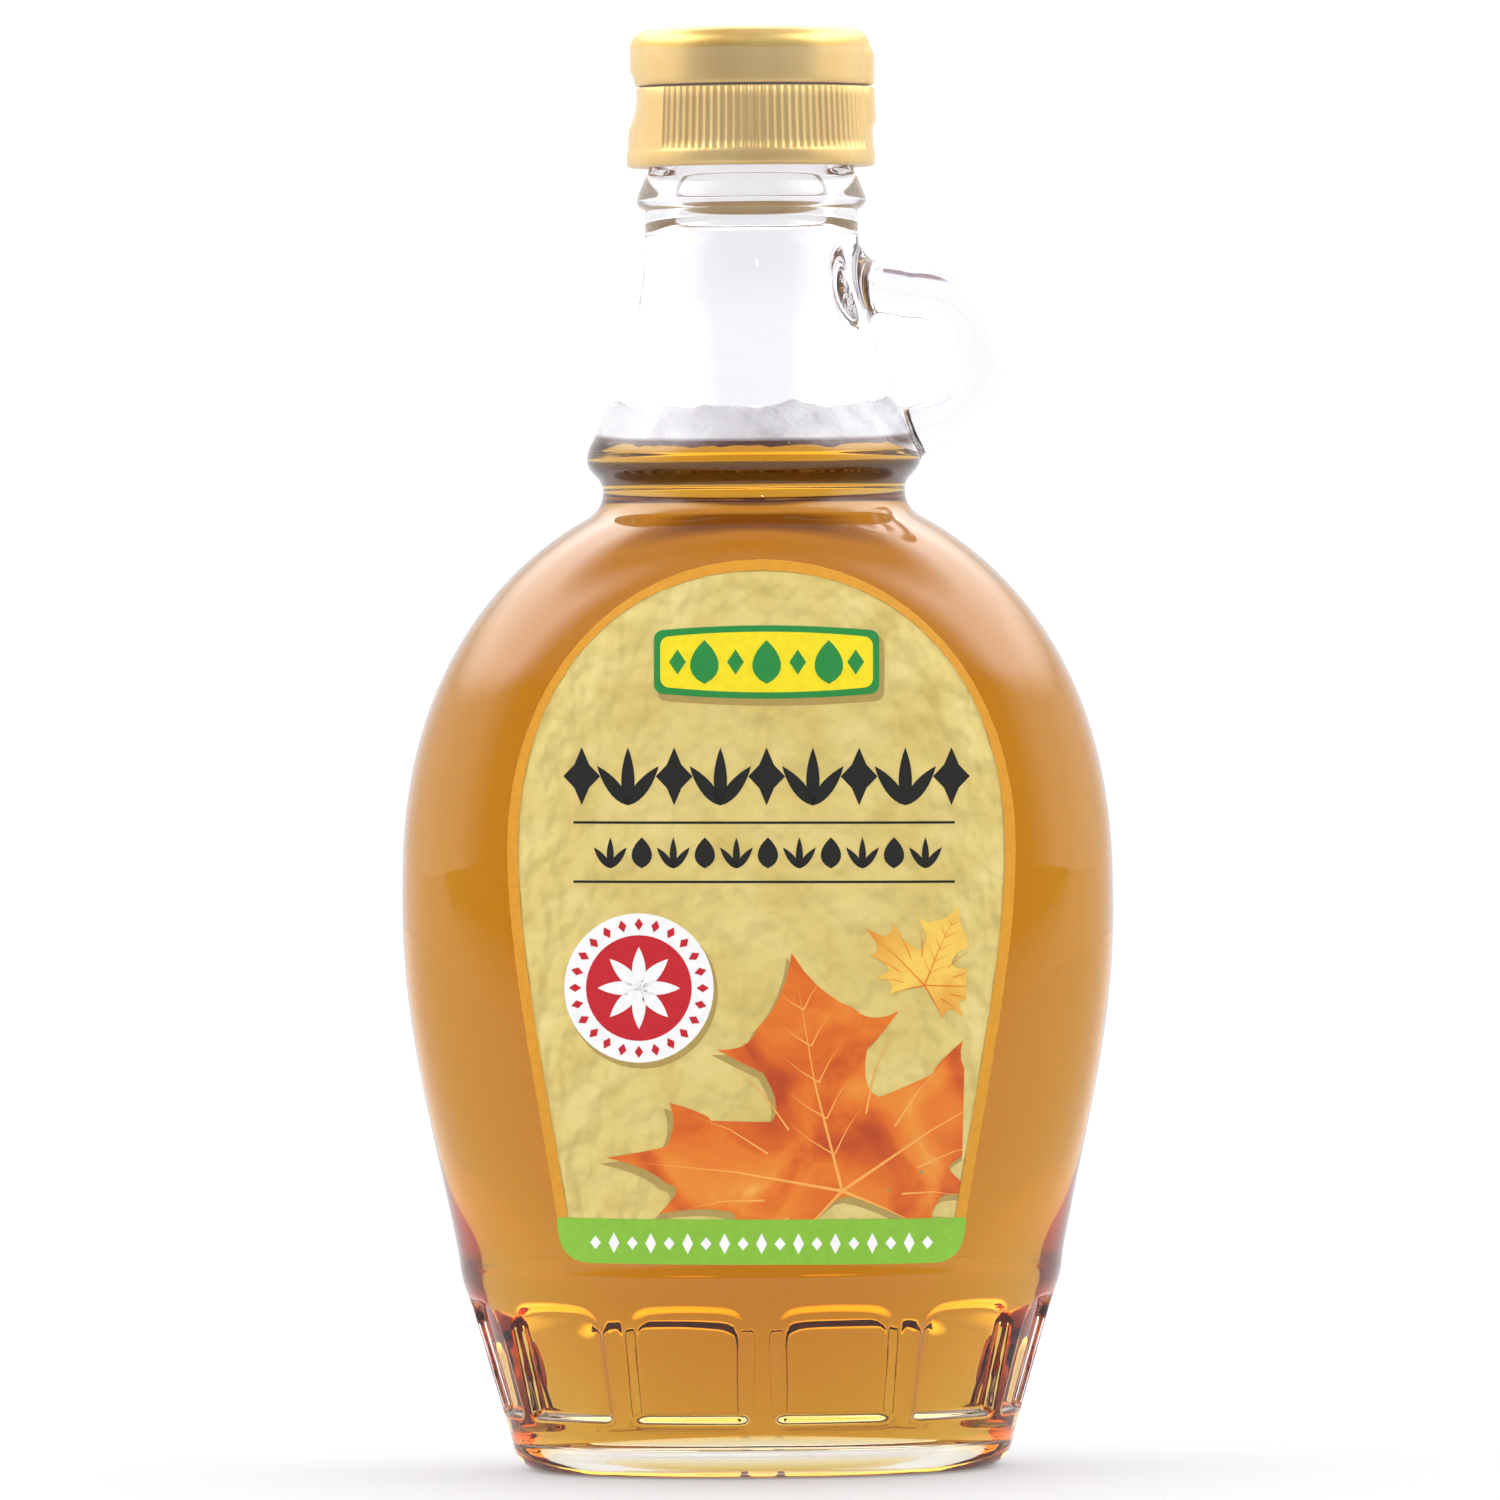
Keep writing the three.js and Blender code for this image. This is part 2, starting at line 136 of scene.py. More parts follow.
def curve(points, steps):
    """A curve through the first and last of 3 or 4 stations, pulled by those between."""
    if len(points) == 3:
        first, pull, last = points
        points = [first, first.lerp(pull, 2 / 3), last.lerp(pull, 2 / 3), last]
    knot, handle, other_handle, other = (Vector(p) for p in points)
    return interpolate_bezier(knot, handle, other_handle, other, steps + 1)


def chain(*stretches):
    """Stretches end to end, each station once."""
    joined = list(stretches[0])
    for stretch in stretches[1:]:
        joined.extend(stretch[1:])
    return joined


def wall_stretches(fine):
    """The glass's side from the ledge to the neck, in steps for each unit of fineness."""
    lower = curve([LEDGE, (39.7, 25.2, 43), (43.4, 25.6, 54), BELLY], 10 * fine)
    shoulder = curve([BELLY, (43, 25.6, 99), (28.2, 25.8, 110.8), SHOULDER_TOP], 12 * fine)
    waist = curve([SHOULDER_TOP, Vector((18.3, 18.3, 116.3)), WAIST], 3 * fine)
    bulge = curve([WAIST, (18.3, 18.3, 120.1), (20.2, 20.2, 120.4), BULGE], 5 * fine)
    bulge_top = curve([BULGE, Vector((20.2, 20.2, 123.3)), BULGE_TOP], 2 * fine)
    neck = curve([BULGE_TOP, (16.4, 16.4, 131.6), (12.9, 12.9, 139.5), NECK], 10 * fine)
    return chain(lower, shoulder, waist, bulge, bulge_top, neck)


def ledge_bead(height):
    away = abs(height - LEDGE_BEAD["z"]) / LEDGE_BEAD["reach"]
    return LEDGE_BEAD["stands"] * math.cos(away * math.pi / 2) ** 2 if away < 1 else 0


def exponent(station):
    oval = min(max((station.x / station.y - 1) / OVAL_RATIO, 0), 1)
    body = smooth_step(BODY_SQUARENESS["from"], BODY_SQUARENESS["to"], station.z)
    return 2 + (SQUARENESS + BODY_SQUARENESS["more"] * body) * oval


WALL_STATIONS = wall_stretches(4)
WALL_HEIGHTS = [station.z for station in WALL_STATIONS]


def wall_at(height):
    """The glass's station at a height between the ledge and the neck's top."""
    index = min(max(bisect_right(WALL_HEIGHTS, height), 1), len(WALL_HEIGHTS) - 1)
    below, above = WALL_STATIONS[index - 1], WALL_STATIONS[index]
    return below.lerp(above, (height - below.z) / (above.z - below.z))


def oval_point(station, turn):
    """The point of a station's section at an angle, in metres."""
    power = exponent(station)
    across, along = math.cos(turn), math.sin(turn)
    stretch = (abs(across) ** power + abs(along) ** power) ** (-1 / power)
    return Vector((station.x * across * stretch, station.y * along * stretch, station.z)) * MM


def drawn_up(mesh, levels, columns, point):
    """Rings of columns carried from level to level by extrusion. Gives the first ring and the last."""
    turn = mesh.verts.layers.float.get("turn") or mesh.verts.layers.float.new("turn")
    ring = bmesh.ops.create_circle(mesh, segments=columns, radius=1)["verts"]
    edges = list({edge for vert in ring for edge in vert.link_edges})
    for vert in ring:
        vert[turn] = math.atan2(vert.co.y, vert.co.x)
        vert.co = point(levels[0], vert[turn])
    first = list(ring)
    for level in levels[1:]:
        made = bmesh.ops.extrude_edge_only(mesh, edges=edges)["geom"]
        ring = [item for item in made if isinstance(item, bmesh.types.BMVert)]
        edges = [item for item in made if isinstance(item, bmesh.types.BMEdge)]
        for vert in ring:
            vert.co = point(level, vert[turn])
    return first, ring


def loft(mesh, levels, columns, point=oval_point):
    """A body drawn up ring by ring, each end closed to a point in its middle."""
    for end in drawn_up(mesh, levels, columns, point):
        middle = sum((vert.co for vert in end), Vector()) / len(end)
        bmesh.ops.pointmerge(mesh, verts=end, merge_co=middle)


def finish_piece(mesh, name, material, smooth=True, body="root"):
    """Turns a bmesh into a piece of the object that rides on its body."""
    bmesh.ops.recalc_face_normals(mesh, faces=mesh.faces)
    data = bpy.data.meshes.new(name)
    mesh.to_mesh(data)
    mesh.free()
    for face in data.polygons:
        face.use_smooth = smooth
    data.materials.append(material)
    piece = bpy.data.objects.new(name, data)
    bpy.context.scene.collection.objects.link(piece)
    if body:
        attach(piece, body)
    return piece


# Materials
def new_material(name):
    material = bpy.data.materials.new(name)
    material.use_nodes = True
    nodes = material.node_tree.nodes
    links = material.node_tree.links
    return material, nodes, links, nodes["Principled BSDF"]


def object_noise(nodes, links, scale, detail=3, stretch=(1, 1, 1), distortion=0.0):
    place = nodes.new("ShaderNodeTexCoord")
    mapping = nodes.new("ShaderNodeMapping")
    mapping.inputs["Scale"].default_value = stretch
    pattern = nodes.new("ShaderNodeTexNoise")
    pattern.inputs["Scale"].default_value = scale
    pattern.inputs["Detail"].default_value = detail
    pattern.inputs["Distortion"].default_value = distortion
    links.new(place.outputs["Object"], mapping.inputs["Vector"])
    links.new(mapping.outputs["Vector"], pattern.inputs["Vector"])
    return pattern


def ramp(nodes, links, source, stops):
    blend = nodes.new("ShaderNodeValToRGB")
    while len(blend.color_ramp.elements) < len(stops):
        blend.color_ramp.elements.new(0.5)
    for element, (place, colour) in zip(blend.color_ramp.elements, stops):
        element.position = place
        element.color = (*colour, 1)
    links.new(source, blend.inputs["Fac"])
    return blend


def along_axis(nodes, links, place, axis, low, high):
    """How far a place is from low to high along an axis, from 0 to 1."""
    split = nodes.new("ShaderNodeSeparateXYZ")
    links.new(place, split.inputs["Vector"])
    share = nodes.new("ShaderNodeMapRange")
    share.inputs["From Min"].default_value = low
    share.inputs["From Max"].default_value = high
    links.new(split.outputs[axis], share.inputs["Value"])
    return share.outputs["Result"]


def multiplied(nodes, links, one, other):
    """One colour times another."""
    blend = nodes.new("ShaderNodeMix")
    blend.data_type = "RGBA"
    blend.blend_type = "MULTIPLY"
    blend.inputs["Factor"].default_value = 1
    links.new(one, blend.inputs["A"])
    links.new(other, blend.inputs["B"])
    return blend.outputs["Result"]


def bump(nodes, links, height, shader, strength, distance):
    relief = nodes.new("ShaderNodeBump")
    relief.inputs["Strength"].default_value = strength
    relief.inputs["Distance"].default_value = distance
    links.new(height, relief.inputs["Height"])
    links.new(relief.outputs["Normal"], shader.inputs["Normal"])
    return relief


def srgb(red, green, blue):
    """A colour as read off a screen, 0 to 255, in the renderer's linear values."""
    def linear(value):
        value = value / 255
        return value / 12.92 if value <= 0.04045 else ((value + 0.055) / 1.055) ** 2.4
    return linear(red), linear(green), linear(blue)


def clear_glass(name, bends):
    """Glass that bends light by the ratio of its own index to that of what touches it."""
    material, nodes, links, shader = new_material(name)
    shader.inputs["Base Color"].default_value = (0.937, 0.93, 0.95, 1)
    shader.inputs["Roughness"].default_value = 0.0
    shader.inputs["IOR"].default_value = bends
    shader.inputs["Transmission Weight"].default_value = 1
    waves = object_noise(nodes, links, 90, 1)
    bump(nodes, links, waves.outputs["Fac"], shader, 0.12, 0.0006)
    return material


def amber_syrup():
    """The syrup only absorbs: the bend where it touches the glass is on the glass's wetted faces."""
    material, nodes, links, shader = new_material("amber_syrup")
    shader.inputs["Base Color"].default_value = (1, 1, 1, 1)
    shader.inputs["Roughness"].default_value = 0.0
    shader.inputs["IOR"].default_value = 1.0
    shader.inputs["Transmission Weight"].default_value = 1
    depth = nodes.new("ShaderNodeVolumeAbsorption")
    depth.inputs["Color"].default_value = (0.902, 0.722, 0.0556, 1)
    depth.inputs["Density"].default_value = 136
    links.new(depth.outputs["Volume"], nodes["Material Output"].inputs["Volume"])
    return material


def syrup_foam():
    """Fine pale bubbles that are soaked brown at the syrup's level, and glow faintly with painted light."""
    material, nodes, links, shader = new_material("syrup_foam")
    shader.inputs["Roughness"].default_value = 0.35
    shader.inputs["Subsurface Weight"].default_value = 0.4
    shader.inputs["Subsurface Radius"].default_value = (0.002, 0.0018, 0.0016)
    cells = nodes.new("ShaderNodeTexVoronoi")
    cells.inputs["Scale"].default_value = 1500
    place = nodes.new("ShaderNodeTexCoord")
    links.new(place.outputs["Object"], cells.inputs["Vector"])
    patches = object_noise(nodes, links, 260, 4)
    shades = ramp(nodes, links, patches.outputs["Fac"],
                  [(0.3, srgb(206, 204, 206)), (0.5, srgb(234, 232, 234)), (0.7, srgb(248, 248, 248))])
    low, high = ((SYRUP_Z + above) * MM for above in FOAM_SOAKED)
    soaked = along_axis(nodes, links, place.outputs["Object"], "Z", low, high)
    wet = ramp(nodes, links, soaked, [(0, srgb(96, 50, 30)), (1, (1, 1, 1))])
    colour = multiplied(nodes, links, shades.outputs["Color"], wet.outputs["Color"])
    links.new(colour, shader.inputs["Base Color"])
    # Painted light: the foam glows in its own colour, standing in for the light that the glass and syrup
    # keep from it
    links.new(colour, shader.inputs["Emission Color"])
    shader.inputs["Emission Strength"].default_value = 0.25
    bump(nodes, links, cells.outputs["Distance"], shader, 0.5, 0.0003)
    return material


def satin_gold():
    """Moulded plastic with a soft metallic sheen and a very fine grain."""
    material, nodes, links, shader = new_material("satin_gold")
    shader.inputs["Metallic"].default_value = 0.6
    shader.inputs["Roughness"].default_value = 0.33
    flow = object_noise(nodes, links, 130, 3, (1, 1, 0.3))
    shades = ramp(nodes, links, flow.outputs["Fac"],
                  [(0.3, srgb(210, 171, 92)), (0.55, srgb(220, 184, 106)), (0.75, srgb(229, 196, 122))])
    links.new(shades.outputs["Color"], shader.inputs["Base Color"])
    grain = object_noise(nodes, links, 3200, 2)
    bump(nodes, links, grain.outputs["Fac"], shader, 0.06, 0.0001)
    return material


def clear_film():
    """A film that lets the light straight through, so that lamps reach the cap, and mirrors a little."""
    material, nodes, links, shader = new_material("clear_film")
    shader.inputs["Base Color"].default_value = (0.9, 0.88, 0.85, 1)
    shader.inputs["Roughness"].default_value = 0.1
    shader.inputs["IOR"].default_value = 1.5
    shader.inputs["Alpha"].default_value = 0.05
    pulls = object_noise(nodes, links, 160, 3, (1, 1, 0.35), 0.6)
    bump(nodes, links, pulls.outputs["Fac"], shader, 0.8, 0.001)
    return material


def parchment():
    """Mottled yellow paper with a soft embossed relief."""
    material, nodes, links, shader = new_material("parchment")
    shader.inputs["Roughness"].default_value = 0.55
    tone = object_noise(nodes, links, 170, 3)
    shades = ramp(nodes, links, tone.outputs["Fac"],
                  [(0.3, srgb(216, 191, 106)), (0.5, srgb(223, 201, 119)), (0.7, srgb(230, 210, 132))])
    links.new(shades.outputs["Color"], shader.inputs["Base Color"])
    wrinkles = object_noise(nodes, links, 330, 1.6, (1, 1, 0.8))
    bump(nodes, links, wrinkles.outputs["Fac"], shader, 0.55, 0.004)
    return material


def ink(name, colour, roughness=0.5, variation=0.04):
    """A printed field: even colour with the faint mottle of ink on paper."""
    material, nodes, links, shader = new_material(name)
    shader.inputs["Roughness"].default_value = roughness
    mottle = object_noise(nodes, links, 900, 2)
    darker = tuple(value * (1 - variation) for value in colour)
    lighter = tuple(min(value * (1 + variation), 1) for value in colour)
    shades = ramp(nodes, links, mottle.outputs["Fac"], [(0.35, darker), (0.65, lighter)])
    links.new(shades.outputs["Color"], shader.inputs["Base Color"])
    return material


def autumn(name, stops):
    """The broad uneven colouring of a leaf in autumn."""
    material, nodes, links, shader = new_material(name)
    shader.inputs["Roughness"].default_value = 0.5
    patches = object_noise(nodes, links, 110, 3, (1, 1, 1), 0.8)
    shades = ramp(nodes, links, patches.outputs["Fac"], stops)
    links.new(shades.outputs["Color"], shader.inputs["Base Color"])
    return material


GLASS = clear_glass("clear_glass", GLASS_INDEX)
WETTED = clear_glass("wetted_glass", GLASS_INDEX / SYRUP_INDEX)
SYRUP = amber_syrup()
BUBBLES = syrup_foam()
GOLD = satin_gold()
SHRINK_FILM = clear_film()
PARCHMENT = parchment()
ORANGE = ink("orange_ink", srgb(221, 152, 30))
GREEN = ink("leaf_green_ink", srgb(136, 193, 53))
DARK_GREEN = ink("dark_green_ink", srgb(30, 140, 60))
YELLOW = ink("yellow_ink", srgb(250, 226, 20))
BLACK = ink("black_ink", srgb(16, 15, 10))
WHITE = ink("white_ink", srgb(250, 250, 248))
RED = ink("red_ink", srgb(199, 22, 38))
SHADE = ink("shade_ink", srgb(178, 152, 82))
AUTUMN = autumn("autumn_orange", [
    (0.3, srgb(186, 66, 12)), (0.42, srgb(216, 94, 14)), (0.55, srgb(232, 120, 26)),
    (0.7, srgb(238, 146, 48)), (0.82, srgb(250, 196, 96))])
AUTUMN_YELLOW = autumn("autumn_yellow", [(0.3, srgb(226, 140, 36)), (0.6, srgb(248, 206, 90))])
VEIN = ink("vein_ink", srgb(247, 176, 84))


# Flask
def on_base_wall(height):
    return HEEL.lerp(LEDGE, (height - HEEL.z) / (LEDGE.z - HEEL.z))


def panel_centres():
    """Middle, direction and half width of each panel, at the height where they are measured."""
    middle = on_base_wall(PANEL["measured_at"])
    ribs = [oval_point(middle, 2 * math.pi * i / PANELS) for i in range(PANELS)]
    for rib, following in zip(ribs, ribs[1:] + ribs[:1]):
        along = following - rib
        half = along.length / MM / 2 - PANEL["rib"] / 2
        yield (rib + following) / 2, along.normalized(), half


PANEL_PLACES = list(panel_centres())


def panel_depth(point, turn, height):
    """How deep the base's arched panels are pressed in at a point, in millimetres."""
    if not PANEL["low"] - 1 < height < PANEL["top"] + 1:
        return 0
    index = int((turn % (2 * math.pi)) / (2 * math.pi) * PANELS) % PANELS
    centre, along, half = PANEL_PLACES[index]
    off = abs((point - centre).dot(along)) / MM
    share = (height - PANEL["low"]) / (PANEL["top"] - PANEL["low"])
    half = half - PANEL["taper"] * (1 - share)
    top = PANEL["top"] - PANEL["arch"] * (off / half) ** 2
    half_tall = (top - PANEL["low"]) / 2
    off_tall = height - PANEL["low"] - half_tall
    corner = PANEL["top_corner"] if off_tall > 0 else PANEL["low_corner"]
    side = off - half + corner
    end = abs(off_tall) - half_tall + corner
    outside = math.hypot(max(side, 0), max(end, 0)) + min(max(side, end), 0) - corner
    return PANEL["depth"] * smooth_step(0, PANEL["bevel"], -outside)


def glass_point(station, turn):
    point = oval_point(station, turn)
    depth = panel_depth(point, turn, station.z)
    if depth:
        inward = Vector((-point.x / station.x ** 2, -point.y / station.y ** 2, 0)).normalized()
        point += inward * depth * MM
    return point


def outer_levels():
    """The glass's stations from the middle of the push-up round the foot and up to the mouth's lip."""
    rim = grown(FOOT, -PUNT_RING)
    shares = (0.02, 0.3, 0.55, 0.75, 0.9, 0.97)
    punt = [Vector((rim.x * t, rim.y * t, PUNT_RISE * (1 - t ** 3))) for t in shares]
    foot = [grown(FOOT, -PUNT_RING), grown(FOOT, -PUNT_RING * 0.6), grown(FOOT, -0.5)]
    heel = curve([FOOT, HEEL_CORNER, HEEL], 10)
    low = PANEL["low"] - 1
    steps = 48
    base = [on_base_wall(low + (LEDGE.z - low) * i / steps) for i in range(steps + 1)]
    wall = wall_stretches(3)
    above = [LEDGE.lerp(wall[2], i / 8) for i in range(9)]
    levels = chain(heel, [HEEL, *base], above, wall[2:])
    levels = [grown(station, ledge_bead(station.z)) for station in levels]
    peak = round_station(grown(NECK_TOP, NECK_BEAD["stands"]).x, NECK_BEAD["peak"])
    neck_bead = chain(curve([NECK_TOP, round_station(*NECK_BEAD["low_pull"]), peak], 6),
                      curve([peak, round_station(*NECK_BEAD["top_pull"]), FINISH], 6))
    lip = [round_station(radius, MOUTH_Z + off) for radius, off in LIP]
    return [*punt, *foot, *levels, *neck_bead, *lip]


def inner_levels(by, low_fine=2):
    """The inside of the glass from its floor up to the neck's bore, moved inwards by some distance."""
    floor_z = FLOOR_Z + by
    top = grown(on_base_wall(floor_z + FLOOR_CORNER), -WALL - by)
    edge = Vector((top.x - FLOOR_CORNER, top.y - FLOOR_CORNER, floor_z))
    corner = curve([edge, Vector((top.x - 0.6, top.y - 0.6, floor_z)), top], 8)
    dome = [(t, floor_z + FLOOR_RISE * (1 - t * t)) for t in (0.02, 0.3, 0.6, 0.85)]
    floor = [Vector((edge.x * t, edge.y * t, height)) for t, height in dome]
    wall = [grown(station, -WALL - by) for station in wall_stretches(low_fine)]
    return [*floor, *corner, *wall]


def wall_distance(place):
    """How far a place is outside the glass's wall, level with it."""
    return math.hypot(place.x, place.y) - wall_at(place.z).x


def root_levels(root, place, along):
    """Levels down one of the bar's roots, over its fillet and into the wall."""
    for i in range(ROOT_STEPS + 1):
        angle = math.radians(ROOT_STEP * i)
        swell, away = 1 - math.cos(angle), 1 - math.sin(angle)
        yield place, along, root, swell, away, 0
    for sunk in ROOT_SUNK:
        yield place, along, root, 1, 0, sunk


def handle_levels():
    """The bar's levels, from its root high on the neck round the ring to its root on the bulge."""
    ring = HANDLE["ring"]
    centre = Vector((HANDLE["x"], 0, HANDLE["z"]))
    top = centre + Vector((0, 0, ring))
    start = Vector((HANDLE_TOP["start"][0], 0, HANDLE_TOP["start"][1]))
    path = curve([start, start + Vector((1.0, 0, -0.1)), top - Vector((1.2, 0, 0)), top], 6)
    sweep = 90 - HANDLE_LOW["start"]
    turns = [math.radians(90 - i * sweep / HANDLE_STEPS) for i in range(HANDLE_STEPS + 1)]
    path = chain(path, [centre + Vector((math.cos(turn), 0, math.sin(turn))) * ring for turn in turns])
    alongs = [(after - before).normalized() for before, after in zip(path, path[1:])]
    bar = [(place, along, None, 0, 0, 0) for place, along in zip(path, [*alongs, alongs[-1]])]
    top_root = list(root_levels(HANDLE_TOP, path[0], -alongs[0]))
    low_root = list(root_levels(HANDLE_LOW, path[-1], alongs[-1]))
    return [*reversed(top_root), *bar[1:-1], *low_root]


def handle_point(level, turn):
    """The bar's point at an angle. At a root it is searched for along the bar, near the wall."""
    place, along, root, swell, away, sunk = level
    out = Vector((-along.z, 0, along.x))
    if root is HANDLE_TOP:
        out = -out
    across, side = math.cos(turn), math.sin(turn)
    if not root:
        return (place + out * HANDLE["thick"] * across + Vector((0, HANDLE["deep"] * side, 0))) * MM
    fillet = root["inner"] + (root["outer"] - root["inner"]) * (1 + across) / 2
    thick, deep = HANDLE["thick"] + fillet * swell, HANDLE["deep"] + fillet * swell
    start = place + out * thick * across + Vector((0, deep * side, 0))
    distance = fillet * away - sunk
    near, far = -3.0, 9.0
    for _ in range(24):
        middle = (near + far) / 2
        if wall_distance(start + along * middle) > distance:
            near = middle
        else:
            far = middle
    return (start + along * near) * MM


def is_wetted(place):
    """Whether a place is on the inside of the glass, below the syrup's level."""
    if not FLOOR_Z - 0.1 < place.z < SYRUP_Z:
        return False
    station = wall_at(place.z) if place.z > LEDGE.z else on_base_wall(place.z)
    station = grown(station, -WALL / 2 - 0.5)
    power = exponent(station)
    return abs(place.x / station.x) ** power + abs(place.y / station.y) ** power < 1


def flask():
    inside = list(reversed(inner_levels(0)))
    bore = [round_station(BORE, height) for height in (158, 153)]
    body = bmesh.new()
    loft(body, [*outer_levels(), *bore, *inside], GLASS_COLUMNS, glass_point)
    for face in body.faces:
        if is_wetted(face.calc_center_median() / MM):
            face.material_index = 1
    glass = finish_piece(body, "flask_glass", GLASS)
    glass.data.materials.append(WETTED)
    ring = bmesh.new()
    loft(ring, list(handle_levels()), HANDLE_SIDES, handle_point)
    handle = finish_piece(ring, "handle_bar", GLASS, body=None)
    join = glass.modifiers.new("handle", "BOOLEAN")
    join.operation = "UNION"
    join.solver = "MANIFOLD"
    join.object = handle
    apply_modifiers(glass)
    bpy.data.objects.remove(handle)
    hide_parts("glass_bottle")
    return glass


def apply_modifiers(piece):
    graph = bpy.context.evaluated_depsgraph_get()
    made = bpy.data.meshes.new_from_object(piece.evaluated_get(graph))
    piece.modifiers.clear()
    piece.data = made
    for face in made.polygons:
        face.use_smooth = True


def up_to(levels, top):
    """The stations below a height, and one at it."""
    below = [station for station in levels if station.z < top - 0.1]
    above = next(station for station in levels if station.z >= top - 0.1 and station.z > below[-1].z)
    share = (top - below[-1].z) / (above.z - below[-1].z)
    return [*below, below[-1].lerp(above, share)]


def syrup_fill():
    """The syrup, which reaches just into the glass so that no air shows, and creeps up it at its level."""
    levels = up_to(inner_levels(-INTO_WALL), SYRUP_Z)
    rim = levels[-1]
    surface = [Vector((*grown(rim, -step).xy, rim.z - drop)) for step, drop in MENISCUS]
    middle = [Vector((rim.x * t, rim.y * t, surface[-1].z)) for t in (0.6, 0.3, 0.03)]
    body = bmesh.new()
    loft(body, [*levels, *surface, *middle], 192)
    piece = finish_piece(body, "syrup_fill", SYRUP)
    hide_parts("syrup")
    return piece


def foam_point(level, turn):
    station, loose = level
    point = oval_point(station, turn)
    if loose:
        point.z += loose * MM * noise.noise(point * 260)
        point.z += loose * 0.4 * MM * noise.noise(point * 900)
    return point


def foam_layer():
    """The foam, from just under the syrup's level to its own uneven top."""
    inside = inner_levels(-INTO_WALL / 2, 4)
    low = SYRUP_Z - FOAM_DIP
    band = [station for station in inside if low < station.z < FOAM_Z - 0.2]
    floor = up_to(inside, low)[-1]
    top = up_to(inside, FOAM_Z)[-1]
    levels = [(Vector((floor.x * t, floor.y * t, low)), 0) for t in (0.05, 0.5, 0.9)]
    levels += [(floor, 0.5), *((station, 0) for station in band), (top, 0.8)]
    sunk = FOAM_Z - FOAM_SAG
    levels += [(Vector((top.x * t, top.y * t, sunk)), 1.2) for t in (0.95, 0.85, 0.7, 0.5, 0.3, 0.1)]
    body = bmesh.new()
    loft(body, levels, 256, foam_point)
    piece = finish_piece(body, "foam_layer", BUBBLES)
    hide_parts("foam")
    return piece


# Cap
def cap_radius(radius, height, turn):
    """A radius less the thumb recess on the left, and with the hinge's bulge on the right."""
    around = abs(abs(turn) - math.pi) / THUMB["half_turn"]
    tall = (height - THUMB["z"]) / THUMB["half_tall"]
    recess = THUMB["deep"] * max(0, 1 - around ** 2) * max(0, 1 - tall * tall)
    hinge_tall = 1 - abs(height - CAP_SEAM) / HINGE["half_tall"]
    hinge_wide = 1 - smooth_step(HINGE["half_turn"] * 0.8, HINGE["half_turn"], abs(turn))
    hinge = HINGE["stands"] * smooth_step(0, 0.25, hinge_tall) * hinge_wide
    return radius - recess + hinge


def cap_point(level, turn):
    """The cap's point at an angle, with grip ribs except under the thumb recess and on the hinge."""
    radius, height, rib = level
    radius = cap_radius(radius, height, turn)
    clear = smooth_step(SMOOTH_SPAN * 0.98, SMOOTH_SPAN, abs(abs(turn) - math.pi))
    clear *= smooth_step(HINGE["half_turn"], HINGE["half_turn"] * 1.1, abs(turn))
    wave = 0.5 - 0.5 * math.cos(turn * CAP_RIBS)
    radius -= rib * clear * RIB_DEPTH * wave ** 0.7
    return Vector((radius * math.cos(turn), radius * math.sin(turn), height)) * MM


def skirt_levels():
    inside = FINISH.x + 0.25
    wide = CAP_R + CAP_FLARE
    band = CAP_LOW + CAP_BAND
    seam = CAP_SEAM - SEAM_WIDTH / 2
    levels = [(inside, CAP_SEAM - 1, 0), (inside, CAP_LOW + 0.2, 0), (inside + 0.3, CAP_LOW, 0)]
    levels += [(wide - 0.45, CAP_LOW, 0), (wide - 0.12, CAP_LOW + 0.15, 0), (wide, CAP_LOW + 0.5, 0)]
    levels += [(wide, band - 0.3, 0), (wide - 0.1, band, 0), (wide - 0.12, band + 0.15, 1)]
    ribs = 6
    for i in range(1, ribs + 1):
        share = i / ribs
        levels.append((wide - 0.12 - (CAP_FLARE - 0.12) * share, band + (seam - band - 0.25) * share, 1))
    levels += [(CAP_R - 0.15, seam - 0.05, 1), (CAP_R - 0.4, seam, 0), (CAP_R - 1.5, seam, 0), (4, seam, 0)]
    return levels


def lid_levels():
    seam = CAP_SEAM + SEAM_WIDTH / 2
    levels = [(3, seam, 0), (CAP_R - 1.4, seam, 0), (CAP_R - 0.35, seam, 0), (CAP_R - 0.1, seam + 0.08, 0)]
    side_top = CAP_TOP - LID_DOME - LID_ROUND
    levels += [(CAP_R, seam + 0.3 + (side_top - seam - 0.3) * i / 8, 0) for i in range(9)]
    for i in range(1, 9):
        turn = i * math.pi / 16
        radius = CAP_R - LID_ROUND + LID_ROUND * math.cos(turn)
        levels.append((radius, side_top + LID_ROUND * math.sin(turn), 0))
    levels += [(CAP_R * t, CAP_TOP - LID_DOME * t * t, 0) for t in (0.75, 0.6, 0.4, 0.2, 0.02)]
    return levels


def cap():
    body = bmesh.new()
    loft(body, skirt_levels(), CAP_RIBS * RIB_COLUMNS, cap_point)
    loft(body, lid_levels(), 256, cap_point)
    piece = finish_piece(body, "cap_moulding", GOLD)
    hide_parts("cap")
    return piece


def film_point(level, turn):
    """The film's point at an angle, off the cap by its wrinkles, with an uneven edge at both ends."""
    radius, height, pull = level
    place = Vector((math.cos(turn), math.sin(turn), height * 0.12))
    radius = cap_radius(radius, height, turn)
    radius += pull * 0.5 * noise.noise(place * 3.5) + pull * 0.25 * noise.noise(place * 11)
    at_edge = height < FILM["low_loose"] or height > FILM["top_loose"]
    lift = 0.5 * noise.noise(place * 2.3 + Vector((5, 0, 0))) if at_edge else 0
    return Vector((radius * math.cos(turn), radius * math.sin(turn), height + lift)) * MM


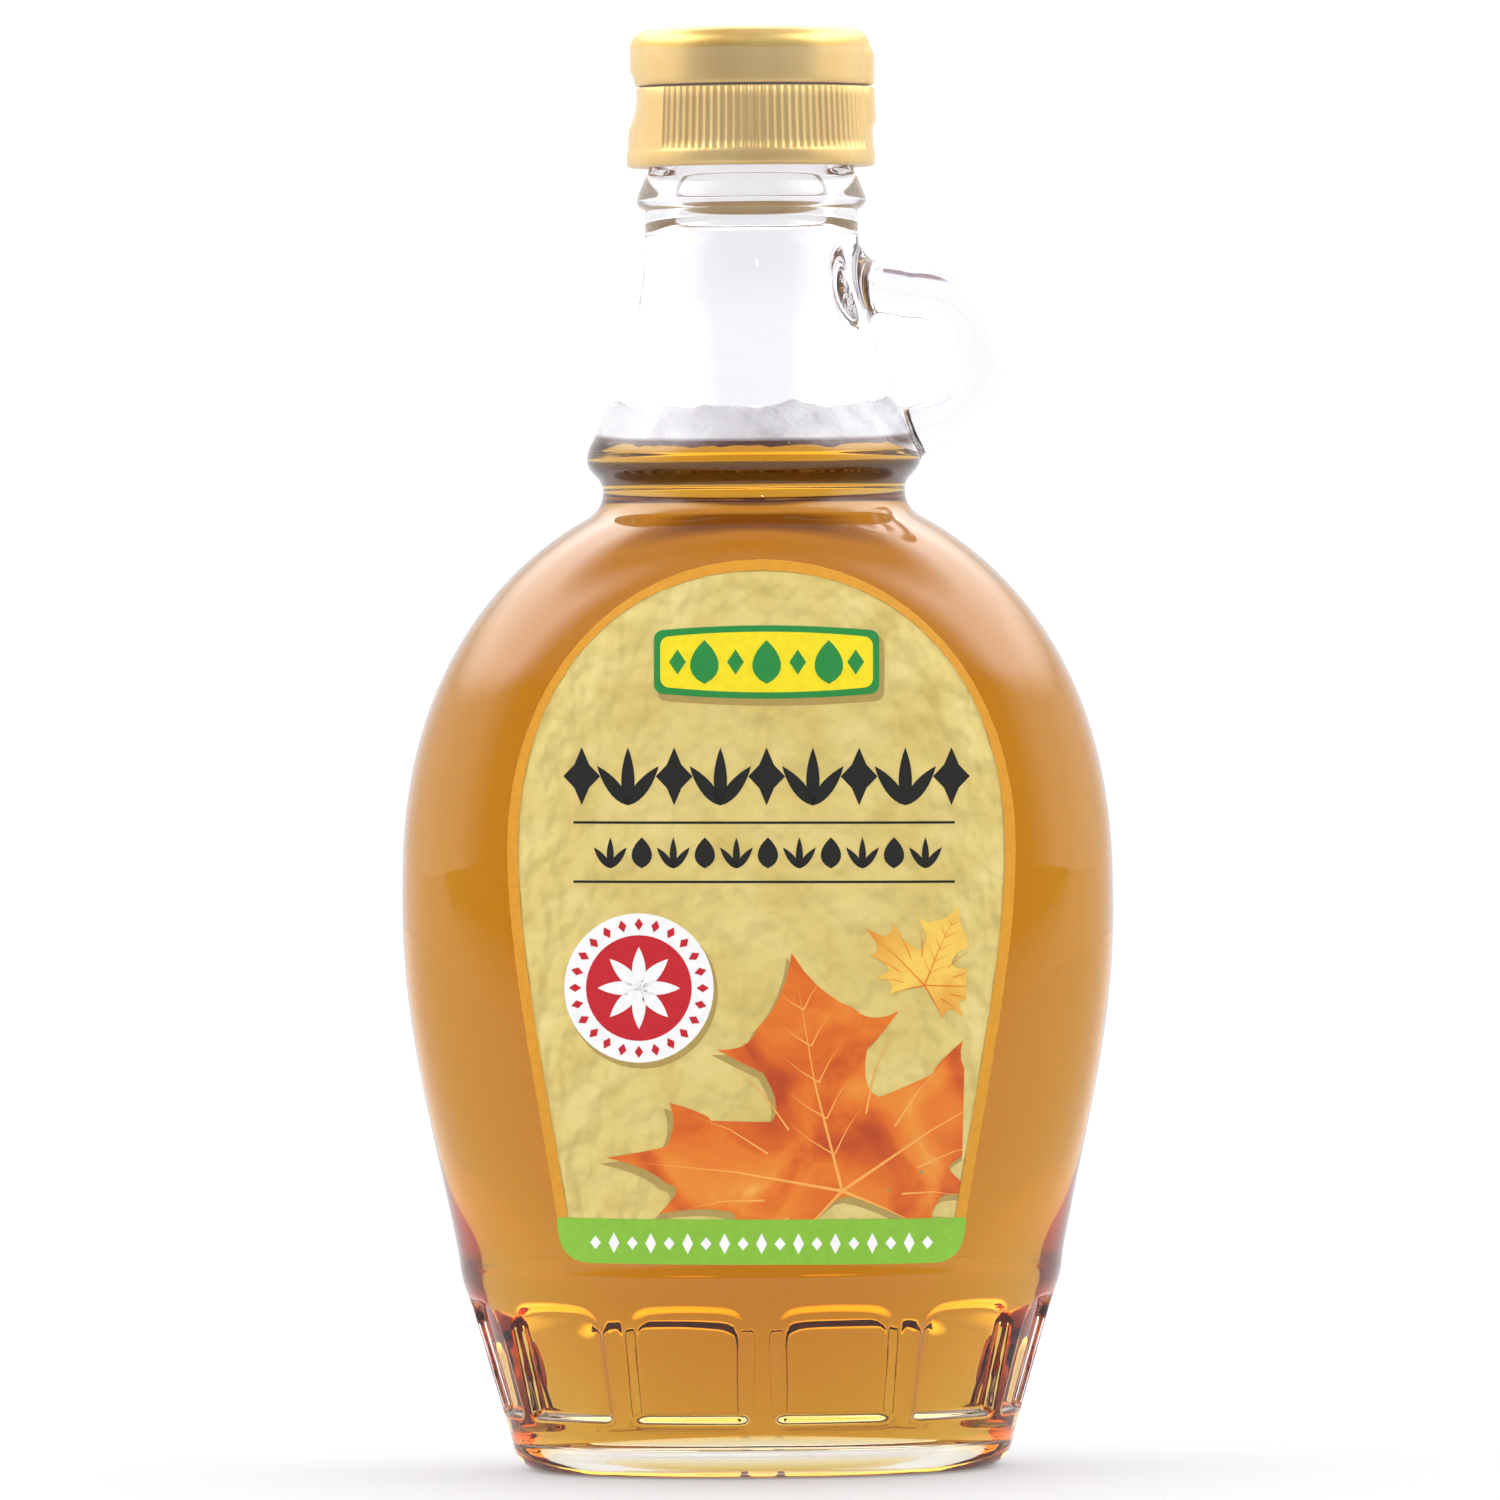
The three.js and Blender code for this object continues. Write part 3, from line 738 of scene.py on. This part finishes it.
def film_path():
    """The film's profile from the neck up to the lid: radius, height and how loosely it lies."""
    wide = CAP_R + CAP_FLARE
    path = [(NECK_TOP.x, 151.9, 0.1), (NECK_TOP.x, 152.4, 0.1), (13.6, 152.9, 0.1), (13.85, 153.4, 0.05)]
    path += [(13.6, 154.2, 0.2), (13.0, 155.6, 0.4), (13.3, 156.5, 0.4), (14.4, 157.0, 0.3)]
    path += [(wide, 157.5, 0.05), (wide, 158.2, 0.03), (wide, 159.2, 0.03)]
    path += [(wide - 0.1, 160.4, 0.1), (wide - 0.2, 162, 0.15)]
    path += [(wide - 0.3, 164, 0.15), (wide - 0.4, 165.6, 0.15), (CAP_R, 167.1, 0.12), (CAP_R, 168.5, 0.1)]
    path += [(CAP_R, 170, 0.05), (CAP_R - 0.05, 171.6, 0.03)]
    return path


def sealing_film():
    """A thin sleeve over the cap and the neck's bead, thinnest at its two ends."""
    path = film_path()
    clear, outside = FILM["clear"], FILM["clear"] + FILM["thick"]
    inner = [(radius + clear, height, pull) for radius, height, pull in path]
    ends = [(radius + FILM["edge"], height, pull) for radius, height, pull in (inner[0], inner[-1])]
    outer = [(radius + outside, height, pull) for radius, height, pull in path[1:-1]]
    body = bmesh.new()
    for side in (inner, [ends[0], *outer, ends[1]]):
        drawn_up(body, side, FILM["columns"], film_point)
    rims = [edge for edge in body.edges if edge.is_boundary]
    halfway = (path[0][1] + path[-1][1]) / 2 * MM
    bmesh.ops.bridge_loops(body, edges=[edge for edge in rims if edge.verts[0].co.z < halfway])
    bmesh.ops.bridge_loops(body, edges=[edge for edge in rims if edge.verts[0].co.z > halfway])
    piece = finish_piece(body, "shrink_film", SHRINK_FILM)
    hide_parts("sealing_film")
    return piece


# Label
def on_front(across, height, lift):
    """The point in front of the glass's wall, lifted off it, in metres."""
    station = grown(wall_at(height), lift)
    power = exponent(station)
    depth = station.y * (1 - abs(across / station.x) ** power) ** (1 / power)
    return Vector((across, -depth, height)) * MM


def arc_points(points, steps=8):
    """An outline through points, where a pair of handles between two points bends the line."""
    outline = []
    for start, *handles, end in points:
        if handles:
            bend = curve([(*place, 0) for place in (start, *handles, end)], steps)
            outline += [place.xy for place in bend[:-1]]
        else:
            outline.append(Vector(start))
    return outline


def label_outline(inset=0.0):
    """The label's edge, as a list of places across and up, pulled in by an inset."""
    half, foot = LABEL["half"] - inset, LABEL["foot_half"] - inset
    top = LABEL["top"] - inset
    widest, bottom, foot_top = LABEL["widest"], LABEL["bottom"], LABEL["foot_top"]
    corner = LABEL["corner"]
    right = [
        ((foot - corner, bottom), (foot - corner / 3, bottom),
         (foot, bottom + corner / 3), (foot, foot_top)),
        ((foot, foot_top), (27.7 - inset, 52), (half, widest - 12), (half, widest)),
        ((half, widest), (half, widest + 19.5), (17.5, top), (0, top)),
    ]
    outline = arc_points(right, 16)
    outline.append(Vector((0, top)))
    mirrored = [Vector((-place.x, place.y)) for place in reversed(outline[:-1])]
    return outline + mirrored


def printed_sheet(name, outlines, material, lift, thick=0.03, pitch=2.0):
    """Flat outlines cut from thin sheet, sliced so that they bend, and laid on the glass's front."""
    body = bmesh.new()
    for outline in outlines:
        corners = [body.verts.new((place[0], 0, place[1])) for place in outline]
        body.faces.new(corners)
    bmesh.ops.recalc_face_normals(body, faces=body.faces)
    bmesh.ops.triangulate(body, faces=body.faces)
    for axis in (Vector((1, 0, 0)), Vector((0, 0, 1))):
        spread = [vert.co.dot(axis) for vert in body.verts]
        place = math.ceil(min(spread) / pitch) * pitch
        while place < max(spread):
            everything = [*body.verts, *body.edges, *body.faces]
            bmesh.ops.bisect_plane(body, geom=everything, dist=1e-5, plane_co=axis * place, plane_no=axis)
            place += pitch
    pushed = bmesh.ops.extrude_face_region(body, geom=body.faces)["geom"]
    for vert in pushed:
        if isinstance(vert, bmesh.types.BMVert):
            vert.co.y = thick
    lean = Matrix.Rotation(LABEL["lean"], 2)
    middle = Vector((0, LABEL["widest"]))
    for vert in body.verts:
        place = middle + lean @ (vert.co.xz - middle)
        vert.co = on_front(place.x + LABEL["shift"], place.y, lift + vert.co.y)
    piece = finish_piece(body, name, material, smooth=False)
    return piece


def clipped(outline, edge):
    """The part of an outline that is inside a convex edge, given anticlockwise."""
    for start, end in zip(edge, edge[1:] + edge[:1]):
        along = end - start
        kept = []
        for place, following in zip(outline, outline[1:] + outline[:1]):
            here = along.cross(place - start)
            there = along.cross(following - start)
            if here >= 0:
                kept.append(place)
            if here * there < 0:
                kept.append(place.lerp(following, here / (here - there)))
        outline = kept
    return outline


def turned(outline, angle, centre, size=1.0):
    """An outline turned, sized and set down round a centre."""
    turn = Matrix.Rotation(math.radians(angle), 2)
    return [Vector(centre) + turn @ Vector(place) * size for place in outline]


def circle(centre, radius, steps=48):
    turns = [2 * math.pi * i / steps for i in range(steps)]
    return [Vector(centre) + Vector((math.cos(turn), math.sin(turn))) * radius for turn in turns]


def box(left, low, right, high):
    return [Vector((left, low)), Vector((right, low)), Vector((right, high)), Vector((left, high))]


def lozenge(centre, wide, tall, waist=0.0):
    """A four-pointed shape, its sides drawn in by a share of its size."""
    pull = (1 - waist) / 2
    corners = [(0, tall / 2), (wide / 2, 0), (0, -tall / 2), (-wide / 2, 0)]
    bends = [(wide / 2 * pull, tall / 2 * pull), (wide / 2 * pull, -tall / 2 * pull),
             (-wide / 2 * pull, -tall / 2 * pull), (-wide / 2 * pull, tall / 2 * pull)]
    outline = []
    for corner, bend in zip(corners, bends):
        outline += [corner, bend]
    return [Vector(centre) + Vector(place) for place in outline]


def petal(wide, tall, lean=0.0):
    """A pointed leaf shape that stands on the origin, fullest below its middle."""
    sides = []
    for side in (1, -1):
        low = Vector((side * wide * 0.62, tall * 0.24, 0))
        high = Vector((side * wide * 0.4 + lean, tall * 0.7, 0))
        sides.append([place.xy for place in curve([(0, 0, 0), low, high, (lean, tall, 0)], 8)])
    return sides[0] + list(reversed(sides[1][1:-1]))


def drop(centre, tall):
    return turned(petal(tall * 0.85, tall), 0, (centre[0], centre[1] - tall / 2))


def sprig(centre, tall):
    """Three petals fanned out from a foot."""
    foot = (centre[0], centre[1] - tall / 2)
    fan = [(0, 1), (38, 0.86), (-38, 0.86)]
    return [turned(petal(tall * 0.3, tall * size), angle, foot) for angle, size in fan]


LEAF_SIDE = [(0.02, -0.03), (0.38, -0.3), (0.41, -0.15), (0.63, -0.17), (0.5, 0.0), (0.83, 0.07),
             (0.77, 0.2), (1.02, 0.37), (0.75, 0.37), (0.7, 0.57), (0.52, 0.44), (0.25, 0.38),
             (0.24, 0.6), (0.43, 0.76), (0.22, 0.8), (0.0, 1.12)]
LEAF_TIPS = [(0.0, 1.08), (0.97, 0.35), (0.4, 0.72), (0.66, 0.53), (0.79, 0.07), (0.36, -0.27),
             (0.59, -0.16)]


def leaf_outline(angle, centre, size, seed=0):
    """A pointed five-lobed leaf whose blade starts at the centre, its edge drawn in between its teeth."""
    def bent(places, salt):
        made = []
        for i, (start, end) in enumerate(zip(places, places[1:])):
            start, end = Vector(start), Vector(end)
            draw = 0.045 * (1 + noise.noise(Vector((i * 1.7, salt, seed))))
            middle = (start + end) / 2
            inward = (Vector((0, 0.28)) - middle).normalized()
            steps = 5
            for j in range(steps):
                share = j / steps
                place = start.lerp(end, share) + inward * draw * 4 * share * (1 - share)
                made.append(place)
        return made
    right = bent(LEAF_SIDE, 3)
    left = [Vector((-place.x, place.y)) for place in bent(LEAF_SIDE, 8)]
    outline = right + [Vector((0, 1.12))] + list(reversed(left))
    outline = [place * (1 + 0.05 * noise.noise(Vector((*place * 2, seed)))) for place in outline]
    return turned(outline, angle, centre, size)


def vein(start, end, wide, bow=0.03):
    """A thin strip that narrows to a point, slightly bowed."""
    start, end = Vector(start), Vector(end)
    along = end - start
    across = Vector((-along.y, along.x)).normalized()
    middle = (start + end) / 2 + across * along.length * bow
    line = [start, start.lerp(middle, 0.6), middle, middle.lerp(end, 0.5), end]
    right = [place + across * wide / 2 * (1 - i / 4) for i, place in enumerate(line[:-1])]
    left = [place - across * wide / 2 * (1 - i / 4) for i, place in enumerate(line[:-1])]
    return right + [end] + list(reversed(left))


def leaf_veins(angle, centre, size, wide):
    """The veins from the blade's foot to its tips, and the side veins off them."""
    strips = []
    for side in (1, -1):
        for tip in LEAF_TIPS[0 if side == 1 else 1:]:
            main = tip in LEAF_TIPS[:2] or tip == LEAF_TIPS[5]
            tip = Vector((tip[0] * side, tip[1]))
            if main:
                strips.append(vein((0, 0), tip * 0.95, wide / size * 1.5, 0.02 * side))
            else:
                strips.append(vein(tip * 0.45, tip * 0.93, wide / size, 0.05 * side))
    for i in range(1, 6):
        start = Vector((0, 0.17 * i))
        for side in (1, -1):
            reach = 0.2 - 0.02 * i
            strips.append(vein(start, start + Vector((side * reach, reach * 1.1)), wide / size * 0.8, 0.04))
    return [turned(strip, angle, centre, size) for strip in strips]


PAPER_LIFT = 0.03
PAPER = 0.14
PRINT_LIFT = PAPER_LIFT + PAPER
LAYER = 0.015
INTO_PAPER = 0.01
LARGE_LEAF = {"angle": 12, "centre": (9.6, 35.0), "size": 26.0}
SMALL_LEAF = {"angle": -24, "centre": (19.4, 59.5), "size": 9.2}
SEAL = {"centre": (-14.6, 59.2), "ring": 8.9, "field": 6.3, "shadow": 9.0, "shadow_off": (0.4, -0.6),
        "marks": 24, "marks_out": 7.6, "mark": (1.0, 1.5), "petals": 8, "petal": (2.1, 4.9)}
PLAQUE = {"centre": (0.6, 98.0), "half": 13.4, "tall": 4.35, "bow": 0.55, "corner": 1.1, "frame": 0.75,
          "shadow_off": (0.5, -0.75), "drops": (-7.4, 0, 7.4), "drop_tall": 5.2,
          "lozenges": (-3.7, 3.7, -10.6, 10.6), "lozenge": (2.0, 3.0)}
BAND_ROW = {"left": -19.8, "step": 2.2, "marks": 19, "z": 28.7, "wide": 1.3, "low": 1.6, "tall": 2.5}
HEADING_ROW = {"left": -21.4, "step": 5.5, "marks": 9, "z": 84.4, "wide": 4.4, "tall": 6.9, "waist": 0.2}
SECOND_ROW = {"left": -18, "step": 3.75, "marks": 11, "z": 75.3, "tall": 3.7}
RULES = {"left": -22.4, "right": 23.0, "low_edges": (78.75, 71.7), "thick": 0.3}


def plaque_outline(inset):
    """A bowed rectangle with small round corners."""
    half, tall = PLAQUE["half"] - inset, PLAQUE["tall"] - PLAQUE["bow"] - inset
    corner, bow = PLAQUE["corner"], PLAQUE["bow"]
    quarter = [Vector((half, 0)), Vector((half, tall - corner))]
    quarter += [Vector((half - corner * (1 - math.cos(t)), tall - corner + corner * math.sin(t)))
                for t in (0.4, 0.8, 1.2, 1.57)]
    rest = half - corner
    quarter += [Vector((rest * (1 - i / 8), tall + bow * (1 - (1 - i / 8) ** 2))) for i in range(1, 9)]
    upper = quarter + [Vector((-place.x, place.y)) for place in reversed(quarter[:-1])]
    outline = upper + [Vector((place.x, -place.y)) for place in reversed(upper[1:-1])]
    return [place + Vector(PLAQUE["centre"]) for place in outline]


def layer(name, outlines, material, level):
    """A printed layer, each level a little further out than the one before."""
    printed_sheet(name, outlines, material, PRINT_LIFT - INTO_PAPER + level * LAYER, INTO_PAPER + LAYER)


def leaf_layer(name, outlines, material, level):
    """A printed layer of which only what is inside the label's border shows."""
    edge = label_outline(LABEL["border"] / 2)
    shown = [clipped(outline, edge) for outline in outlines]
    layer(name, [outline for outline in shown if len(outline) > 2], material, level)


def moved(outline, by):
    return [place + Vector(by) for place in outline]


def row_places(row):
    """Where a row's marks stand, from left to right."""
    return [(row["left"] + row["step"] * i, row["z"]) for i in range(row["marks"])]


def label_edges():
    """The border round the arch, and the green band across the label's foot with its row of lozenges."""
    outer = label_outline()
    inner = label_outline(LABEL["border"])
    keep = [i for i, place in enumerate(outer) if place.y >= LABEL["foot_top"] - 0.01]
    border = [[outer[i], outer[j], inner[j], inner[i]] for i, j in zip(keep, keep[1:])]
    layer("label_border", border, ORANGE, 4)
    band = [place for place in outer if place.y <= LABEL["foot_top"] + 0.01]
    layer("green_band", [band], GREEN, 4)
    row = BAND_ROW
    marks = [lozenge(place, row["wide"], row["tall"] if i % 2 else row["low"])
             for i, place in enumerate(row_places(row))]
    layer("band_marks", marks, WHITE, 5)


def plaque():
    """A framed panel of drops and lozenges, over its printed shadow."""
    layer("plaque_shadow", [moved(plaque_outline(-0.1), PLAQUE["shadow_off"])], SHADE, 0)
    layer("plaque_frame", [plaque_outline(0)], DARK_GREEN, 1)
    layer("plaque_field", [plaque_outline(PLAQUE["frame"])], YELLOW, 2)
    across, height = PLAQUE["centre"]
    marks = [drop((across + step, height), PLAQUE["drop_tall"]) for step in PLAQUE["drops"]]
    marks += [lozenge((across + step, height), *PLAQUE["lozenge"]) for step in PLAQUE["lozenges"]]
    layer("plaque_marks", marks, DARK_GREEN, 3)


def ornament_rows():
    """Two rows of sprigs, lozenges and drops, and the two rules round the lower row."""
    row = HEADING_ROW
    heading = []
    for i, place in enumerate(row_places(row)):
        if i % 2:
            heading += sprig(place, row["tall"])
        else:
            heading += [lozenge(place, row["wide"], row["tall"], row["waist"])]
    layer("heading_row", heading, BLACK, 0)
    second = []
    for i, place in enumerate(row_places(SECOND_ROW)):
        if i % 2:
            second += [drop(place, SECOND_ROW["tall"])]
        else:
            second += sprig(place, SECOND_ROW["tall"])
    layer("second_row", second, BLACK, 0)
    rules = [box(RULES["left"], low, RULES["right"], low + RULES["thick"]) for low in RULES["low_edges"]]
    layer("rules", rules, BLACK, 0)


def round_seal():
    """A rosette on a round field, in a ring of small lozenges."""
    centre = Vector(SEAL["centre"])
    beside = [place + off for place, off in zip(SEAL["centre"], SEAL["shadow_off"])]
    layer("seal_shadow", [circle(beside, SEAL["shadow"])], SHADE, 0)
    layer("seal_ring", [circle(centre, SEAL["ring"])], WHITE, 1)
    mark = lozenge((0, SEAL["marks_out"]), *SEAL["mark"])
    ring_marks = [turned(mark, 360 / SEAL["marks"] * i, centre) for i in range(SEAL["marks"])]
    layer("seal_field", [circle(centre, SEAL["field"]), *ring_marks], RED, 2)
    leaf = petal(*SEAL["petal"])
    rosette = [turned(leaf, 360 / SEAL["petals"] * i, centre) for i in range(SEAL["petals"])]
    layer("seal_rosette", rosette, WHITE, 3)


def autumn_leaves():
    """A large leaf over its printed shadow, and a small one above it."""
    large, small = LARGE_LEAF, SMALL_LEAF
    beside = Vector(large["centre"]) + Vector((-0.5, -0.8))
    shadow = leaf_outline(large["angle"], beside, large["size"] * 1.01)
    leaf_layer("leaf_shadow", [shadow], SHADE, 0)
    leaf_layer("large_leaf", [leaf_outline(**large)], AUTUMN, 1)
    leaf_layer("large_leaf_veins", leaf_veins(wide=0.24, **large), VEIN, 2)
    leaf_layer("small_leaf", [leaf_outline(seed=5, **small)], AUTUMN_YELLOW, 3)
    leaf_layer("small_leaf_veins", leaf_veins(wide=0.12, **small), AUTUMN, 4)


def label():
    paper = printed_sheet("label_paper", [label_outline()], PARCHMENT, PAPER_LIFT, PAPER)
    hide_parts("label")
    label_edges()
    plaque()
    ornament_rows()
    round_seal()
    autumn_leaves()


# Studio, in metres
SKY_STRENGTH = 5.7
FLOOR_HALF = 6
# The floor's pale tone, and painted shade that darkens it towards the front for the glass to mirror
FLOOR_TONE_AND_SHADE = {"dark": (0.04, 0.04, 0.04), "dark_to": -0.8, "pale": (0.42, 0.42, 0.42), "pale_from": -0.25}
# Painted shadow: a soft mauve-brown patch on the floor behind the bottle, where its own shadow would fall
FLOOR_PAINTED_SHADOW = {"place": (0, 0.19, 0), "size": (0.04, 0.075, 1), "colour": (0.38, 0.28, 0.3)}
CAP_LAMP = {"place": (0.12, -1.2, 0.42), "aim": (0, 0, 0.176), "power": 28, "spread": math.radians(2.1)}
SOFT_LIGHT = {"aim": (0, 0, 0.09), "size": 0.7}
CAMERA = {"aside": -0.00077, "away": 1.452, "height": 0.1238, "aim_height": 0.0869,
          "roll": math.radians(-0.53), "sensor": 36, "view_wide": 0.1815}


def light_paths():
    """Plain colours, and enough bounces for light to cross the glass, the syrup and the film."""
    scene = bpy.context.scene
    scene.view_settings.view_transform = "Standard"
    scene.cycles.max_bounces = 32
    scene.cycles.transmission_bounces = 32
    scene.cycles.glossy_bounces = 12
    scene.cycles.transparent_max_bounces = 24


def studio_world():
    """Light from all round: dark in front and overhead, bright at the sides and most so well up."""
    world = bpy.data.worlds.new("studio")
    bpy.context.scene.world = world
    world.use_nodes = True
    nodes = world.node_tree.nodes
    links = world.node_tree.links
    place = nodes.new("ShaderNodeTexCoord")

    def along(axis, stops):
        share = along_axis(nodes, links, place.outputs["Generated"], axis, -1, 1)
        return ramp(nodes, links, share, [((at + 1) / 2, colour) for at, colour in stops])

    front, side, back = (0.15, 0.15, 0.155), (0.86, 0.86, 0.88), (0.62, 0.62, 0.62)
    round_about = along("Y", [
        (-1.0, front), (-0.6, front), (-0.3, side), (0.35, side), (0.7, back), (1, back)])
    low, high = (0.31, 0.31, 0.31), (1, 1, 1)
    up = along("Z", [
        (-1, low), (0.3, low), (0.5, high), (0.72, high),
        (0.85, (0.16, 0.155, 0.17)), (1, (0.13, 0.125, 0.14))])
    both = multiplied(nodes, links, round_about.outputs["Color"], up.outputs["Color"])
    background = nodes["Background"]
    links.new(both, background.inputs["Color"])
    background.inputs["Strength"].default_value = SKY_STRENGTH


def floor_paint():
    """Pale and faintly glowing, darkened in front by painted shade, with a painted shadow patch behind the
    bottle that darkens its shoulder.
    """
    material, nodes, links, shader = new_material("studio_floor")
    shader.inputs["Roughness"].default_value = 0.9
    shader.inputs["Emission Strength"].default_value = 0.5
    place = nodes.new("ShaderNodeTexCoord")
    # Painted shade: the floor goes dark towards the front, so the glass's base mirrors a dark floor
    dark_to, pale_from = FLOOR_TONE_AND_SHADE["dark_to"], FLOOR_TONE_AND_SHADE["pale_from"]
    near = along_axis(nodes, links, place.outputs["Object"], "Y", dark_to, pale_from)
    tone = ramp(nodes, links, near, [(0, FLOOR_TONE_AND_SHADE["dark"]), (1, FLOOR_TONE_AND_SHADE["pale"])])
    # Painted shadow: a round mauve-brown patch behind the bottle, standing in for the bottle's own shadow
    spot = nodes.new("ShaderNodeMapping")
    spot.vector_type = "TEXTURE"
    spot.inputs["Location"].default_value = FLOOR_PAINTED_SHADOW["place"]
    spot.inputs["Scale"].default_value = FLOOR_PAINTED_SHADOW["size"]
    painted_shadow_spot = nodes.new("ShaderNodeTexGradient")
    painted_shadow_spot.gradient_type = "SPHERICAL"
    links.new(place.outputs["Object"], spot.inputs["Vector"])
    links.new(spot.outputs["Vector"], painted_shadow_spot.inputs["Vector"])
    shadow = ramp(nodes, links, painted_shadow_spot.outputs["Fac"], [(0, (1, 1, 1)), (0.5, FLOOR_PAINTED_SHADOW["colour"])])
    colour = multiplied(nodes, links, tone.outputs["Color"], shadow.outputs["Color"])
    links.new(colour, shader.inputs["Base Color"])
    links.new(colour, shader.inputs["Emission Color"])
    return material


def studio_floor():
    floor_mesh = bmesh.new()
    bmesh.ops.create_grid(floor_mesh, x_segments=2, y_segments=2, size=FLOOR_HALF)
    floor = finish_piece(floor_mesh, "studio_floor", floor_paint(), body=None)


def hung_lamp(light, place, aim):
    """Hangs a light at a place, turned towards what it lights."""
    lamp = bpy.data.objects.new(light.name, light)
    lamp.location = place
    lamp.rotation_euler = (Vector(aim) - Vector(place)).to_track_quat("-Z", "Y").to_euler()
    bpy.context.scene.collection.objects.link(lamp)
    return lamp


def cap_lamp():
    """A narrow beam on the cap alone, which the dark front of the studio would leave dull."""
    light = bpy.data.lights.new("cap_light", "SPOT")
    light.energy = CAP_LAMP["power"]
    light.spot_size = CAP_LAMP["spread"]
    light.spot_blend = 0.7
    light.shadow_soft_size = 0.12
    hung_lamp(light, CAP_LAMP["place"], CAP_LAMP["aim"])


def soft_light(name, place, power):
    """A soft light for the label and the cap, which leaves no spot of its own in the glass."""
    light = bpy.data.lights.new(name, "AREA")
    light.shape = "RECTANGLE"
    light.size = SOFT_LIGHT["size"]
    light.size_y = SOFT_LIGHT["size"]
    light.energy = power
    lamp = hung_lamp(light, place, SOFT_LIGHT["aim"])
    lamp.visible_glossy = False
    lamp.visible_transmission = False


def studio():
    light_paths()
    studio_world()
    studio_floor()
    cap_lamp()
    soft_light("front_left_light", (-0.9, -1.2, 0.8), 3)
    soft_light("front_right_light", (1.0, -1.3, 0.4), 1)


def camera():
    eye = Vector((CAMERA["aside"], -CAMERA["away"], CAMERA["height"]))
    aim = Vector((CAMERA["aside"], 0, CAMERA["aim_height"]))
    lens = bpy.data.cameras.new("camera")
    lens.sensor_width = CAMERA["sensor"]
    lens.lens = CAMERA["sensor"] * CAMERA["away"] / CAMERA["view_wide"]
    lens.clip_end = 20
    view = bpy.data.objects.new("camera", lens)
    look = (aim - eye).to_track_quat("-Z", "Y").to_matrix()
    look = look @ Matrix.Rotation(CAMERA["roll"], 3, "Z")
    view.matrix_world = Matrix.Translation(eye) @ look.to_4x4()
    bpy.context.scene.collection.objects.link(view)
    bpy.context.scene.camera = view


camera()
flask()
syrup_fill()
foam_layer()
cap()
sealing_film()
label()
studio()
